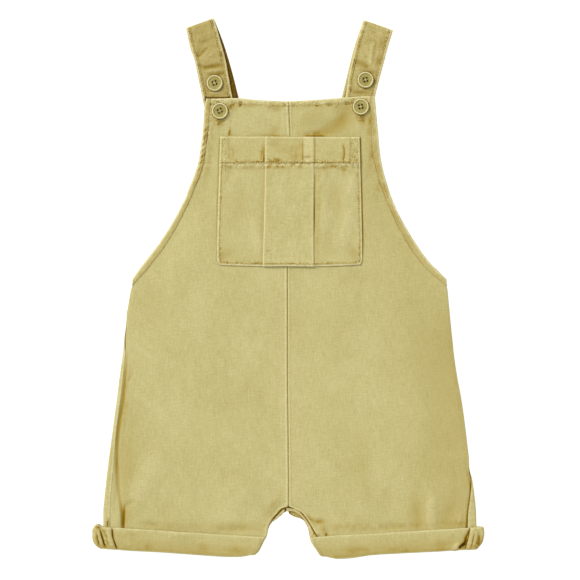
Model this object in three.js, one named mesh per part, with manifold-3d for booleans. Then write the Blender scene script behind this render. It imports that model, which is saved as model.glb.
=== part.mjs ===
// Toddler's short dungarees in plain woven cotton and linen, laid flat on their back.
// Millimetres, +Z up. The garment rests on z = 0; +Y runs from the hems to the straps.
// "left" and "right" are the wearer's: the wearer's left leg lies at +X.
import * as THREE from 'three';
import { mergeVertices } from 'three/addons/utils/BufferGeometryUtils.js';
import Module from 'manifold-3d';

// ---------------------------------------------------------------- driving dimensions
const CLOTH = 1.2;          // one panel's wall
const HEM = 2.0;            // a turned hem, two layers pressed
const STRAP = 2.0;          // the strap, a flat tube of cloth
const TURNUP = 1.6;         // the cuff's outer leaf
const GAP = 0.3;            // clear space between pieces at a seam
const ON_PANEL = 0.4;       // clear space under a piece that lies on a panel
const BACK_TOP_Y = 138;     // top edge of the back panels, at the centre
const BACK_MID = CLOTH / 2; // mid-surface of the back where it rests
const LEG_MID = 3.8;        // mid-surface of the front where the back laps on to it
const CUFF_BACK = 1.75;     // mid-height of the turn-up under the leg
const CUFF_FRONT = 5.35;    // mid-height of the turn-up over the leg
const LEAF_OUT = 0.95;      // the outer leaf's middle, out from the turn-up's middle
const LEAF_IN = -0.75;      // the inner leaf's middle
const BUTTON_D = 15.8;      // button diameter
const BUTTON_T = 2.8;       // button thickness
const HOLE_D = 1.5;         // thread holes, four to a button
const HOLE_R = 2.2;         // their distance from the button's centre

const CLOTH_COLOUR = '#cbc185';
const EDGE_COLOUR = '#c7b97c';
const STRAP_COLOUR = '#beaf6f';
const BUTTON_COLOUR = '#c9c086';

// ---------------------------------------------------------------- small helpers
const lerp = (a, b, t) => a + (b - a) * t;
const clamp = (v, a, b) => Math.min(b, Math.max(a, v));
const smooth = (t) => { const u = clamp(t, 0, 1); return u * u * (3 - 2 * u); };

// value of column `out` at `at` in a table sorted by column `key`, straight between rows
function look(table, key, at, out) {
  const rising = table[table.length - 1][key] > table[0][key];
  const past = (row) => (rising ? row[key] >= at : row[key] <= at);
  const i = table.findIndex(past);
  if (i === 0) return table[0][out];
  if (i < 0) return table[table.length - 1][out];
  const a = table[i - 1], b = table[i];
  return lerp(a[out], b[out], (at - a[key]) / (b[key] - a[key]));
}

// a closed wall of cloth from rows of stations {p, n, h}: point, unit normal, half thickness
function wall(rows) {
  const R = rows.length, C = rows[0].length, pos = [], tri = [];
  for (const side of [1, -1]) {
    for (const row of rows) for (const s of row) {
      pos.push(s.p[0] + side * s.h * s.n[0], s.p[1] + side * s.h * s.n[1], s.p[2] + side * s.h * s.n[2]);
    }
  }
  const top = (i, j) => i * C + j, under = (i, j) => R * C + i * C + j;
  const quad = (a, b, c, d) => tri.push(a, b, c, a, c, d);
  for (let i = 0; i < R - 1; i++) for (let j = 0; j < C - 1; j++) {
    quad(top(i, j), top(i + 1, j), top(i + 1, j + 1), top(i, j + 1));
    quad(under(i, j), under(i, j + 1), under(i + 1, j + 1), under(i + 1, j));
  }
  for (let i = 0; i < R - 1; i++) {
    quad(top(i, 0), under(i, 0), under(i + 1, 0), top(i + 1, 0));
    quad(top(i, C - 1), top(i + 1, C - 1), under(i + 1, C - 1), under(i, C - 1));
  }
  for (let j = 0; j < C - 1; j++) {
    quad(top(0, j), top(0, j + 1), under(0, j + 1), under(0, j));
    quad(top(R - 1, j), under(R - 1, j), under(R - 1, j + 1), top(R - 1, j + 1));
  }
  let six = 0;
  for (let k = 0; k < tri.length; k += 3) {
    const [a, b, c] = [tri[k] * 3, tri[k + 1] * 3, tri[k + 2] * 3];
    six += pos[a] * (pos[b + 1] * pos[c + 2] - pos[b + 2] * pos[c + 1])
      - pos[a + 1] * (pos[b] * pos[c + 2] - pos[b + 2] * pos[c])
      + pos[a + 2] * (pos[b] * pos[c + 1] - pos[b + 1] * pos[c]);
  }
  if (six < 0) for (let k = 0; k < tri.length; k += 3) [tri[k + 1], tri[k + 2]] = [tri[k + 2], tri[k + 1]];
  const g = new THREE.BufferGeometry();
  g.setAttribute('position', new THREE.Float32BufferAttribute(pos, 3));
  g.setIndex(tri);
  g.computeVertexNormals();
  return g;
}

const group = new THREE.Group();
function add(name, geometry, colour, roughness = 0.9) {
  const mesh = new THREE.Mesh(geometry, new THREE.MeshStandardMaterial({ color: colour, roughness, metalness: 0 }));
  mesh.name = name;
  group.add(mesh);
}
const UP = [0, 0, 1];

// ---------------------------------------------------------------- outlines
// centre front seam: y down the front, x of the seam
const CENTRE = [
  { y: 192, x: 0.4 }, { y: 153, x: 2.2 }, { y: 88, x: 1.0 }, { y: 22, x: -0.4 },
  { y: -105, x: -0.2 }, { y: -192, x: 0.8 }, { y: -230, x: 0.6 },
];

// armhole edge of each front, from the bib's corner to the underarm, and its hem's width
const ARMHOLE = {
  right: [
    { x: -81.7, y: 189.2, hem: 5.2 }, { x: -83.4, y: 181.5, hem: 5.4 }, { x: -84.4, y: 166, hem: 5.6 },
    { x: -85.6, y: 153, hem: 5.4 }, { x: -87.6, y: 137.5, hem: 5.4 }, { x: -90.2, y: 123.6, hem: 5.5 },
    { x: -93.7, y: 112.7, hem: 5.5 }, { x: -98.2, y: 102, hem: 5.5 }, { x: -102.4, y: 91, hem: 5.5 },
    { x: -107.8, y: 80, hem: 5.6 }, { x: -114.2, y: 68, hem: 5.9 }, { x: -121.4, y: 56, hem: 6.2 },
    { x: -129.4, y: 44, hem: 6.5 }, { x: -138.5, y: 32, hem: 6.5 }, { x: -147.5, y: 20.5, hem: 6.4 },
    { x: -155.3, y: 9.3, hem: 6.2 },
  ],
  left: [
    { x: 86.6, y: 191.8, hem: 4.8 }, { x: 87.4, y: 183, hem: 5.0 }, { x: 89.0, y: 166, hem: 5.6 },
    { x: 90.2, y: 152, hem: 7.0 }, { x: 91.5, y: 139, hem: 7.2 }, { x: 93.2, y: 127, hem: 7.0 },
    { x: 95.6, y: 116, hem: 6.6 }, { x: 99.2, y: 104, hem: 6.4 }, { x: 103.4, y: 91, hem: 6.0 },
    { x: 108.0, y: 80, hem: 5.8 }, { x: 113.9, y: 68, hem: 6.2 }, { x: 120.8, y: 56, hem: 6.8 },
    { x: 128.2, y: 44, hem: 7.0 }, { x: 136.6, y: 32, hem: 6.8 }, { x: 147.0, y: 20, hem: 6.6 },
    { x: 158.4, y: 9.3, hem: 6.4 },
  ],
};
const UNDERARM = { right: { x: -155.9, y: 2.2 }, left: { x: 159.0, y: 2.0 } }; // where the hem's stitching meets the side

// side of each leg: outermost x, how far the back turns up there (degrees), and how far it laps in
const SIDE = {
  right: [
    { y: 9.3, x: -155.3, turn: 0, lap: 0 }, { y: -4, x: -157.0, turn: 0, lap: 0 },
    { y: -17, x: -159.8, turn: 0, lap: 0 }, { y: -30, x: -161.6, turn: 0, lap: 0 },
    { y: -42, x: -163.0, turn: 50, lap: 0 }, { y: -54, x: -164.0, turn: 110, lap: 0 },
    { y: -66, x: -165.2, turn: 180, lap: 0.7 }, { y: -88, x: -168.4, turn: 180, lap: 1.6 },
    { y: -112, x: -171.4, turn: 180, lap: 1.8 }, { y: -136, x: -174.6, turn: 180, lap: 1.6 },
    { y: -160, x: -177.8, turn: 180, lap: 2.6 }, { y: -184, x: -180.9, turn: 180, lap: 3.9 },
    { y: -206, x: -183.4, turn: 180, lap: 4.2 }, { y: -222, x: -184.9, turn: 180, lap: 4.9 },
    { y: -260, x: -184.6, turn: 180, lap: 5.0 },
  ],
  left: [
    { y: 9.3, x: 158.4, turn: 0, lap: 0 }, { y: -4, x: 159.6, turn: 0, lap: 0 },
    { y: -17, x: 161.1, turn: 0, lap: 0 }, { y: -30, x: 162.3, turn: 0, lap: 0 },
    { y: -42, x: 163.5, turn: 0, lap: 0 }, { y: -54, x: 164.8, turn: 0, lap: 0 },
    { y: -66, x: 166.0, turn: 0, lap: 0 }, { y: -88, x: 169.2, turn: 0, lap: 0 },
    { y: -112, x: 173.6, turn: 0, lap: 0 }, { y: -136, x: 177.0, turn: 0, lap: 0 },
    { y: -160, x: 179.8, turn: 0, lap: 0 }, { y: -172, x: 181.0, turn: 0, lap: 0 },
    { y: -184, x: 182.4, turn: 60, lap: 0 }, { y: -194, x: 184.6, turn: 120, lap: 0 },
    { y: -204, x: 186.2, turn: 180, lap: 1.0 }, { y: -214, x: 187.4, turn: 180, lap: 3.4 },
    { y: -226, x: 188.3, turn: 180, lap: 6.0 }, { y: -238, x: 188.4, turn: 180, lap: 7.0 },
    { y: -260, x: 187.0, turn: 180, lap: 7.0 },
  ],
};

// the turn-ups: the line of the top edge, the line of the bottom fold, and the two ends
const CUFF_TOP = {
  right: [{ x: -196, y: -237.9 }, { x: -21, y: -249 }],
  left: [{ x: 20, y: -249.1 }, { x: 196, y: -238.1 }],
};
const CUFF_FOLD = {
  right: [
    { x: -196, y: -260.3 }, { x: -188, y: -260.8 }, { x: -165, y: -262.6 }, { x: -126, y: -264.6 },
    { x: -97, y: -266.4 }, { x: -46, y: -268.8 }, { x: -38, y: -268.8 }, { x: -30, y: -267.0 },
  ],
  left: [
    { x: 30, y: -268.4 }, { x: 38, y: -270.8 }, { x: 50, y: -270.4 }, { x: 66, y: -268.8 },
    { x: 80, y: -267.0 }, { x: 112, y: -265.2 }, { x: 154, y: -263.2 }, { x: 176, y: -261.8 }, { x: 196, y: -261.4 },
  ],
};
const CUFF_INNER = {
  right: [{ y: -249, x: -22.0 }, { y: -257, x: -25.8 }, { y: -262.7, x: -28.8 }, { y: -266, x: -32.0 }, { y: -268.5, x: -37 }],
  left: [{ y: -249, x: 21.2 }, { y: -255, x: 23.7 }, { y: -262.7, x: 28.8 }, { y: -267.8, x: 32.4 }, { y: -270.6, x: 38 }],
};
const CUFF_OUTER = {
  right: [{ y: -238, x: -192.6 }, { y: -242.5, x: -195.7 }, { y: -250, x: -195.7 }, { y: -255, x: -194 }, { y: -258.6, x: -191 }, { y: -260.8, x: -187.5 }],
  left: [{ y: -238, x: 195.6 }, { y: -246, x: 196 }, { y: -250, x: 195.4 }, { y: -255, x: 193.9 }, { y: -258.6, x: 191.6 }, { y: -261.6, x: 188.5 }],
};
const CUFF_SEAM = {
  right: [{ y: -238, x: -176.2 }, { y: -248, x: -175.0 }, { y: -262, x: -170.6 }],
  left: [{ y: -238, x: 182.2 }, { y: -248, x: 180.6 }, { y: -262, x: 177.0 }],
};
const cuffTop = (side, x) => look(CUFF_TOP[side], 'x', x, 'y');

// ---------------------------------------------------------------- armhole hem's inner line
function hemLine(side) {
  const t = ARMHOLE[side], inward = side === 'right' ? 1 : -1;
  return t.map((row, i) => {
    const a = t[Math.max(0, i - 1)], b = t[Math.min(t.length - 1, i + 1)];
    const dx = b.x - a.x, dy = b.y - a.y, L = Math.hypot(dx, dy);
    if (i === t.length - 1) return { ...UNDERARM[side] };
    // the edge runs down, so its inward normal points to the centre front and down
    const nx = (-dy / L) * inward, ny = (dx / L) * inward;
    return { x: row.x + nx * row.hem, y: i === 0 ? row.y : row.y + ny * row.hem };
  });
}
const HEM_LINE = { right: hemLine('right'), left: hemLine('left') };

// ---------------------------------------------------------------- fronts
// height of the fronts' mid-surface down the garment: at the centre seam, across the middle
// of each front and at its outer edge
const FRONT_Z = {
  right: [
    { y: 190, zIn: 4.6, zMid: 5.3, zOut: 5.6 }, { y: 160, zIn: 4.6, zMid: 5.3, zOut: 5.6 },
    { y: 152, zIn: 4.5, zMid: 5.1, zOut: 5.3 }, { y: 138, zIn: 4.4, zMid: 4.9, zOut: 4.6 },
    { y: 123, zIn: 4.3, zMid: 4.8, zOut: 3.6 }, { y: 108, zIn: 4.2, zMid: 4.6, zOut: 2.9 },
    { y: 90, zIn: 4.2, zMid: 4.5, zOut: 2.6 }, { y: 12, zIn: 4.2, zMid: 4.5, zOut: 2.6 },
    { y: 0, zIn: 4.2, zMid: 4.6, zOut: 2.3 }, { y: -30, zIn: 4.2, zMid: 4.6, zOut: 2.4 },
    { y: -66, zIn: 4.2, zMid: 4.6, zOut: LEG_MID }, { y: -180, zIn: 4.2, zMid: 4.6, zOut: LEG_MID },
    { y: -212, zIn: 4.0, zMid: 4.6, zOut: LEG_MID }, { y: -219, zIn: 3.6, zMid: 4.6, zOut: LEG_MID },
  ],
};
FRONT_Z.left = FRONT_Z.right.map((r) => ({ ...r, zOut: r.y < -29 && r.y > -170 ? 2.4 : r.zOut }));
FRONT_Z.left.splice(11, 0, { y: -170, zIn: 4.2, zMid: 4.6, zOut: 2.6 });

// the rows of each front below the underarm: y at the centre seam and at the side
const FRONT_ROW_Y = {
  right: [
    { yIn: 0.6, yOut: 0.6 }, { yIn: -17, yOut: -17 }, { yIn: -30, yOut: -30 }, { yIn: -42, yOut: -42 },
    { yIn: -54, yOut: -54 }, { yIn: -66, yOut: -66 }, { yIn: -90, yOut: -88 }, { yIn: -116, yOut: -112 },
    { yIn: -142, yOut: -136 }, { yIn: -168, yOut: -160 }, { yIn: -194, yOut: -184 },
    { yIn: -212, yOut: -200 }, { yIn: -218, yOut: -206 },
  ],
  left: [
    { yIn: 0.6, yOut: 0.6 }, { yIn: -17, yOut: -17 }, { yIn: -30, yOut: -30 }, { yIn: -48, yOut: -48 },
    { yIn: -66, yOut: -66 }, { yIn: -90, yOut: -88 }, { yIn: -116, yOut: -112 },
    { yIn: -142, yOut: -136 }, { yIn: -168, yOut: -160 }, { yIn: -184, yOut: -172 }, { yIn: -198, yOut: -184 },
    { yIn: -209, yOut: -194 }, { yIn: -218, yOut: -204 },
  ],
};

// the legs below the crotch: the front's inner edge, the back's inner edge, and heights
// there; `above` is the distance up from the turn-up's top edge
const LEG = {
  right: [
    { above: 26, xIn: -5.0, yIn: -220.6, xBack: -3.6, yBack: -222.0, zIn: 3.3, zOut: LEG_MID, back: 0.6 },
    { above: 21, xIn: -10.2, yIn: -226.0, xBack: -7.0, yBack: -227.4, zIn: 3.3, zOut: LEG_MID, back: 0.6 },
    { above: 15, xIn: -16.6, yIn: -233.0, xBack: -15.0, yBack: -233.4, zIn: 3.6, zOut: LEG_MID, back: 0.6 },
    { above: 10.5, xIn: -19.2, yIn: -238.4, xBack: -18.6, yBack: -238.4, zIn: 3.9, zOut: 4.0, back: 1.2 },
    { above: 6, xIn: -20.4, yIn: -243.1, xBack: -19.8, yBack: -243.1, zIn: 4.3, zOut: 4.4, back: 2.0 },
    { above: 1.2, xIn: -24.4, yIn: -247.8, xBack: -24.4, yBack: -247.8, zIn: 4.6, zOut: 4.6, back: 2.5 },
    { above: -3.5, xIn: -26.4, yIn: -252.4, xBack: -26.4, yBack: -252.4, zIn: 4.6, zOut: 4.6, back: 2.5 },
    { above: -8, xIn: -28.8, yIn: -256.8, xBack: -28.8, yBack: -256.8, zIn: 4.6, zOut: 4.6, back: 2.5 },
  ],
  left: [
    { above: 27, xIn: 6.0, yIn: -220.7, xBack: 0.6, yBack: -224.6, zIn: 3.3, zOut: LEG_MID, back: 0.6 },
    { above: 22, xIn: 12.9, yIn: -224.7, xBack: 5.0, yBack: -228.4, zIn: 3.3, zOut: LEG_MID, back: 0.6 },
    { above: 16, xIn: 19.3, yIn: -232.1, xBack: 14.4, yBack: -231.6, zIn: 3.6, zOut: LEG_MID, back: 0.6 },
    { above: 11, xIn: 23.2, yIn: -238.2, xBack: 19.6, yBack: -237.6, zIn: 3.9, zOut: 4.0, back: 1.2 },
    { above: 6, xIn: 26.0, yIn: -243.0, xBack: 20.8, yBack: -243.0, zIn: 4.3, zOut: 4.4, back: 2.0 },
    { above: 1.2, xIn: 28.6, yIn: -247.4, xBack: 23.6, yBack: -247.8, zIn: 4.6, zOut: 4.6, back: 2.5 },
    { above: -3.5, xIn: 30.4, yIn: -252.0, xBack: 26.4, yBack: -252.3, zIn: 4.6, zOut: 4.6, back: 2.5 },
    { above: -8, xIn: 32.0, yIn: -256.4, xBack: 29.2, yBack: -256.6, zIn: 4.6, zOut: 4.6, back: 2.5 },
  ],
};

const ACROSS = [0, 0.06, 0.17, 0.32, 0.48, 0.64, 0.78, 0.9, 1];
const profile = (r, t) => r.zMid + (r.zIn - r.zMid) * smooth((0.3 - t) / 0.3) + (r.zOut - r.zMid) * smooth((t - 0.7) / 0.3);

// radius of the back's turn at the side, from the heights it joins
const turnRadius = (zFront, zBack) => (zFront - zBack) / 2;

// the front's side edge: armhole hem line above, lapped or plain side seam below
function frontEdge(side, y) {
  const s = side === 'right' ? -1 : 1;
  if (y > UNDERARM[side].y) return look(HEM_LINE[side], 'y', y, 'x') - s * GAP;
  const turn = look(SIDE[side], 'y', y, 'turn'), lap = look(SIDE[side], 'y', y, 'lap');
  const edge = look(SIDE[side], 'y', y, 'x');
  const inset = turn <= 0 ? 0 : (CLOTH / 2 + 1.6) + lap + GAP;
  const blend = smooth(turn / 45);
  return edge - s * lerp(0, inset, blend);
}

function frontRows(side) {
  const s = side === 'right' ? -1 : 1;
  const z = (y) => ({ zIn: look(FRONT_Z[side], 'y', y, 'zIn'), zMid: look(FRONT_Z[side], 'y', y, 'zMid'), zOut: look(FRONT_Z[side], 'y', y, 'zOut') });
  const rows = HEM_LINE[side].map((p, i) => {
    const yIn = i === 0 ? 187 : i === 1 ? p.y - 2 : p.y;
    const bow = i === 0 && side === 'right' ? 1.2 : 0;
    return { ...z(p.y), yIn, yOut: p.y, bow, xIn: look(CENTRE, 'y', yIn, 'x') + s * GAP / 2, xOut: p.x - s * GAP * 1.4 };
  });
  for (const r of FRONT_ROW_Y[side]) {
    rows.push({ ...z(r.yIn), ...r, bow: 0, xIn: look(CENTRE, 'y', r.yIn, 'x') + s * GAP / 2, xOut: frontEdge(side, r.yOut) });
  }
  for (const r of LEG[side]) {
    const yOut = cuffTop(side, s * 186) + r.above;
    rows.push({ yIn: r.yIn, yOut, bow: 0, zIn: r.zIn, zMid: 4.6, zOut: r.zOut, xIn: r.xIn, xOut: frontEdge(side, yOut) });
  }
  return rows;
}
const FRONT_ROWS = { right: frontRows('right'), left: frontRows('left') };

// mid-surface height of the fronts over a point of the bib or body
function frontHeight(x, y) {
  const side = x < look(CENTRE, 'y', y, 'x') ? 'right' : 'left';
  const rows = FRONT_ROWS[side];
  const at = (key) => look(rows, 'yIn', y, key);
  const t = (x - at('xIn')) / (at('xOut') - at('xIn'));
  return profile({ zIn: at('zIn'), zMid: at('zMid'), zOut: at('zOut') }, clamp(t, 0, 1));
}

for (const side of ['left', 'right']) {
  add(`front_${side}`, wall(FRONT_ROWS[side].map((r) => ACROSS.map((t) => ({
    p: [lerp(r.xIn, r.xOut, t), lerp(r.yIn, r.yOut, t) + r.bow * 4 * t * (1 - t), profile(r, t)], n: UP, h: CLOTH / 2,
  })))), CLOTH_COLOUR);
}

// ---------------------------------------------------------------- armhole hems
for (const side of ['left', 'right']) {
  const rows = ARMHOLE[side].map((o, i) => {
    const inner = HEM_LINE[side][i], z = look(FRONT_ROWS[side], 'yIn', (o.y + inner.y) / 2, 'zOut');
    return [0, 1].map((t) => ({ p: [lerp(o.x, inner.x, t), lerp(o.y, inner.y, t), Math.max(z, 1.2 + GAP + HEM / 2)], n: UP, h: HEM / 2 }));
  });
  add(`armhole_hem_${side}`, wall(rows), EDGE_COLOUR);
}

// ---------------------------------------------------------------- backs
// rows of the back above the underarm; from there it shares the front's rows
const BACK_TOP_ROWS = [BACK_TOP_Y, 120, 100, 80, 60, 42, 26, 12];
const BACK_ACROSS = [0, 0.12, 0.3, 0.5, 0.7, 0.88, 1];
const TURN_STEPS = 5;
const BACK_SEAM = 0.5;        // x of the centre back seam

function backEdge(side, y) {   // armhole edge just inside the front's, then the side
  const s = side === 'right' ? -1 : 1;
  if (y > 9.3) return look(ARMHOLE[side], 'y', y, 'x') - s * 1.0;
  return look(SIDE[side], 'y', y, 'x');
}

function backRow(side, xIn, yIn, yOut, zBack, zFront) {
  const s = side === 'right' ? -1 : 1;
  const edge = backEdge(side, yOut);
  const turn = THREE.MathUtils.degToRad(yOut > 9.3 ? 0 : look(SIDE[side], 'y', yOut, 'turn'));
  const lap = look(SIDE[side], 'y', yOut, 'lap');
  const r = turn > 0 ? turnRadius(zFront, zBack) : 1.6;
  const start = edge - s * (turn > 0 ? CLOTH / 2 + r : 2.6);
  const row = BACK_ACROSS.map((t) => ({ p: [lerp(xIn, start, t), lerp(yIn, yOut, t), zBack], n: UP, h: CLOTH / 2 }));
  for (let k = 1; k <= TURN_STEPS; k++) {
    const a = turn * k / TURN_STEPS;
    if (turn > 0) row.push({ p: [start + s * r * Math.sin(a), yOut, zBack + r * (1 - Math.cos(a))], n: [-s * Math.sin(a), 0, Math.cos(a)], h: CLOTH / 2 });
    else row.push({ p: [lerp(start, edge, k / (TURN_STEPS + 1)), yOut, zBack], n: UP, h: CLOTH / 2 });
  }
  const last = row[row.length - 1];
  if (turn > 0) {
    const step = Math.max(lap, 0.4);
    row.push({ p: [last.p[0] + s * step * Math.cos(turn), yOut, last.p[2] + step * Math.sin(turn)], n: last.n, h: CLOTH / 2 });
  } else row.push({ p: [edge, yOut, zBack], n: UP, h: CLOTH / 2 });
  return row;
}

for (const side of ['left', 'right']) {
  const s = side === 'right' ? -1 : 1;
  const shared = FRONT_ROW_Y[side].slice(1);
  const last = { yIn: side === 'right' ? -220.0 : -222.0, yOut: shared[shared.length - 1].yOut - 3 };
  const rows = [...BACK_TOP_ROWS.map((y) => ({ yIn: y, yOut: y })), ...shared, last].map(({ yIn, yOut }) => (
    backRow(side, BACK_SEAM + s * GAP / 2, yIn, yOut, BACK_MID, look(FRONT_ROWS[side], 'yOut', yOut, 'zOut'))));
  for (const r of LEG[side]) {
    const yOut = cuffTop(side, s * 186) + r.above;
    rows.push(backRow(side, r.xBack, r.yBack, yOut, r.back, r.zOut));
  }
  add(`back_${side}`, wall(rows), EDGE_COLOUR);
}

// ---------------------------------------------------------------- inseam bands
// the bound edge of each inseam where it shows inside the crotch: the front's edge and the band's own
const INSEAM = {
  right: [
    { x: -4.6, y: -220.7, bx: -2.9, by: -223.0, z: 2.1 }, { x: -9.9, y: -226.2, bx: -8.0, by: -228.2, z: 2.1 },
    { x: -13.4, y: -229.9, bx: -11.8, by: -231.6, z: 2.1 }, { x: -16.2, y: -233.2, bx: -14.9, by: -233.6, z: 2.2 },
  ],
  left: [
    { x: -1.6, y: -220.2, bx: -1.9, by: -223.2, z: 2.1 }, { x: 5.8, y: -221.1, bx: 4.8, by: -223.6, z: 2.1 },
    { x: 12.6, y: -225.0, bx: 10.7, by: -227.2, z: 2.1 }, { x: 19.0, y: -232.4, bx: 16.6, by: -233.8, z: 2.2 },
    { x: 22.8, y: -238.3, bx: 20.2, by: -239.6, z: 3.0 }, { x: 25.7, y: -243.2, bx: 23.0, by: -244.4, z: 3.7 },
    { x: 27.9, y: -247.2, bx: 25.2, by: -247.9, z: 4.1 },
  ],
};
for (const side of ['left', 'right']) {
  add(`inseam_band_${side}`, wall(INSEAM[side].map((r) => [
    { p: [r.x, r.y, r.z], n: UP, h: 0.5 }, { p: [r.bx, r.by, r.z], n: UP, h: 0.5 },
  ])), EDGE_COLOUR);
}

// ---------------------------------------------------------------- turn-ups
// the fold of a turn-up in section: `o` out from its middle, and its place between the top
// edge and the bottom fold; the turn at the bottom is a half circle
const foldSection = (() => {
  const out = [
    { o: LEAF_OUT, from: 'top', d: -0.4, n: [1, 0], h: 0.55 }, { o: LEAF_OUT, from: 'top', d: -2, n: [1, 0], h: TURNUP / 2 },
    { o: LEAF_OUT, from: 'top', d: -8, n: [1, 0], h: TURNUP / 2 }, { o: LEAF_OUT, from: 'top', d: -14, n: [1, 0], h: TURNUP / 2 },
  ];
  const mid = (LEAF_OUT + LEAF_IN) / 2, r = (LEAF_OUT - LEAF_IN) / 2;
  for (let k = 0; k <= 4; k++) {
    const a = Math.PI * k / 4;
    out.push({ o: mid + r * Math.cos(a), from: 'fold', d: r + 0.7 - r * Math.sin(a), n: [Math.cos(a), -Math.sin(a)], h: lerp(TURNUP / 2, CLOTH / 2, k / 4) });
  }
  out.push({ o: LEAF_IN, from: 'top', d: -8.3, n: [-1, 0], h: CLOTH / 2 });
  return out;
})();

function cuffRows(side, path) {
  return foldSection.map((f) => path.map((m) => {
    const y = f.from === 'top' ? cuffTop(side, m.x0) + f.d : look(CUFF_FOLD[side], 'x', m.x0, 'y') + f.d;
    const x = m.at(y) + m.nx * f.o, z = m.z + m.nz * f.o;
    return { p: [x, y, z], n: [m.nx * f.n[0], f.n[1], m.nz * f.n[0]], h: f.h };
  }));
}

for (const side of ['left', 'right']) {
  const s = side === 'right' ? -1 : 1;
  const rad = (CUFF_FRONT - CUFF_BACK) / 2, mid = (CUFF_FRONT + CUFF_BACK) / 2, reach = rad + LEAF_OUT + TURNUP / 2;
  const inner = (y) => look(CUFF_INNER[side], 'y', y, 'x') + s * reach;
  const outer = (y) => look(CUFF_OUTER[side], 'y', y, 'x') - s * reach;
  const seam = (y) => look(CUFF_SEAM[side], 'y', y, 'x');
  const flat = [0, 0.12, 0.3, 0.5, 0.7, 0.88, 1];
  const nominal = (t) => s * lerp(28, 190, t);

  // back: from the inseam turn, under the leg, round the side and on to the front
  const back = [];
  for (let k = 0; k < 4; k++) {
    const a = Math.PI * k / 4;
    back.push({ x0: nominal(0), z: mid + rad * Math.cos(a), nx: -s * Math.sin(a), nz: Math.cos(a), at: (y) => inner(y) - s * rad * Math.sin(a) });
  }
  for (const t of flat) back.push({ x0: nominal(t), z: CUFF_BACK, nx: 0, nz: -1, at: (y) => lerp(inner(y), outer(y), t) });
  for (let k = 1; k <= 4; k++) {
    const a = Math.PI * k / 4;
    back.push({ x0: nominal(1), z: mid - rad * Math.cos(a), nx: s * Math.sin(a), nz: -Math.cos(a), at: (y) => outer(y) + s * rad * Math.sin(a) });
  }
  back.push({ x0: nominal(0.92), z: CUFF_FRONT, nx: 0, nz: 1, at: (y) => seam(y) + s * GAP });
  add(`cuff_back_${side}`, wall(cuffRows(side, back)), EDGE_COLOUR);

  // front: from the inseam to the side seam
  const front = [0, 0.13, 0.3, 0.5, 0.7, 0.87, 1].map((t) => ({
    x0: s * lerp(28, 178, t), z: CUFF_FRONT, nx: 0, nz: 1, at: (y) => lerp(inner(y) + s * GAP, seam(y), t),
  }));
  add(`cuff_front_${side}`, wall(cuffRows(side, front)), CLOTH_COLOUR);
}

// ---------------------------------------------------------------- straps
// each strap from its end on the back, up to the fold at the shoulder and down behind the
// bib: left and right edge of every section, and the height of its middle
const STRAPS = {
  right: {
    rear: [
      { xl: -60.4, yl: 122, xr: -29.5, yr: 122, z: 2.6 }, { xl: -63.6, yl: 133, xr: -32.8, yr: 133, z: 2.6 },
      { xl: -65.2, yl: 138.6, xr: -34.4, yr: 138.6, z: 2.55 }, { xl: -67.6, yl: 147, xr: -36.8, yr: 147, z: 1.0 },
      { xl: -73.0, yl: 166, xr: -42.2, yr: 166, z: 1.0 }, { xl: -79.9, yl: 189.2, xr: -49.1, yr: 189.2, z: 1.0 },
      { xl: -86.4, yl: 212, xr: -54.8, yr: 212, z: 1.0 }, { xl: -94.2, yl: 240, xr: -63.6, yr: 242, z: 1.0 },
    ],
    fold: { xl: -102.3, yl: 260.0, xr: -74.3, yr: 270.3, nx: -0.345, ny: 0.938 },
    front: [
      { xl: -97.4, yl: 239, xr: -66.4, yr: 243 }, { xl: -93.5, yl: 228.2, xr: -62.8, yr: 230 },
      { xl: -90.0, yl: 211.4, xr: -59.6, yr: 213 }, { xl: -86.9, yl: 197, xr: -57.0, yr: 198 },
      { xl: -84.3, yl: 184, xr: -54.0, yr: 184 }, { xl: -81.2, yl: 171, xr: -51.0, yr: 171 },
      { xl: -77.6, yl: 159, xr: -48.6, yr: 159 },
    ],
  },
  left: {
    rear: [
      { xl: 35.9, yl: 122, xr: 66.9, yr: 122, z: 2.6 }, { xl: 38.7, yl: 133, xr: 69.7, yr: 133, z: 2.6 },
      { xl: 40.1, yl: 138.6, xr: 71.1, yr: 138.6, z: 2.55 }, { xl: 42.2, yl: 147, xr: 73.2, yr: 147, z: 1.0 },
      { xl: 47.4, yl: 166, xr: 78.2, yr: 166, z: 1.0 }, { xl: 53.6, yl: 189.8, xr: 84.6, yr: 189.8, z: 1.0 },
      { xl: 58.6, yl: 210, xr: 89.4, yr: 210, z: 1.0 }, { xl: 66.4, yl: 241, xr: 97.6, yr: 240, z: 1.0 },
    ],
    fold: { xl: 75.7, yl: 268.4, xr: 105.2, yr: 258.1, nx: 0.33, ny: 0.944 },
    front: [
      { xl: 67.6, yl: 243, xr: 99.4, yr: 239 }, { xl: 64.0, yl: 228, xr: 96.4, yr: 227.5 },
      { xl: 60.2, yl: 210, xr: 91.6, yr: 210 }, { xl: 57.9, yl: 194, xr: 87.6, yr: 194 },
      { xl: 55.6, yl: 184, xr: 85.2, yr: 184 }, { xl: 52.2, yl: 171, xr: 82.0, yr: 171 },
      { xl: 49.6, yl: 159, xr: 78.8, yr: 159 },
    ],
  },
};
const STRAP_ACROSS = [0, 0.08, 0.5, 0.92, 1];
const STRAP_REAR = 1.0, STRAP_FRONT = 3.3;

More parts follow.
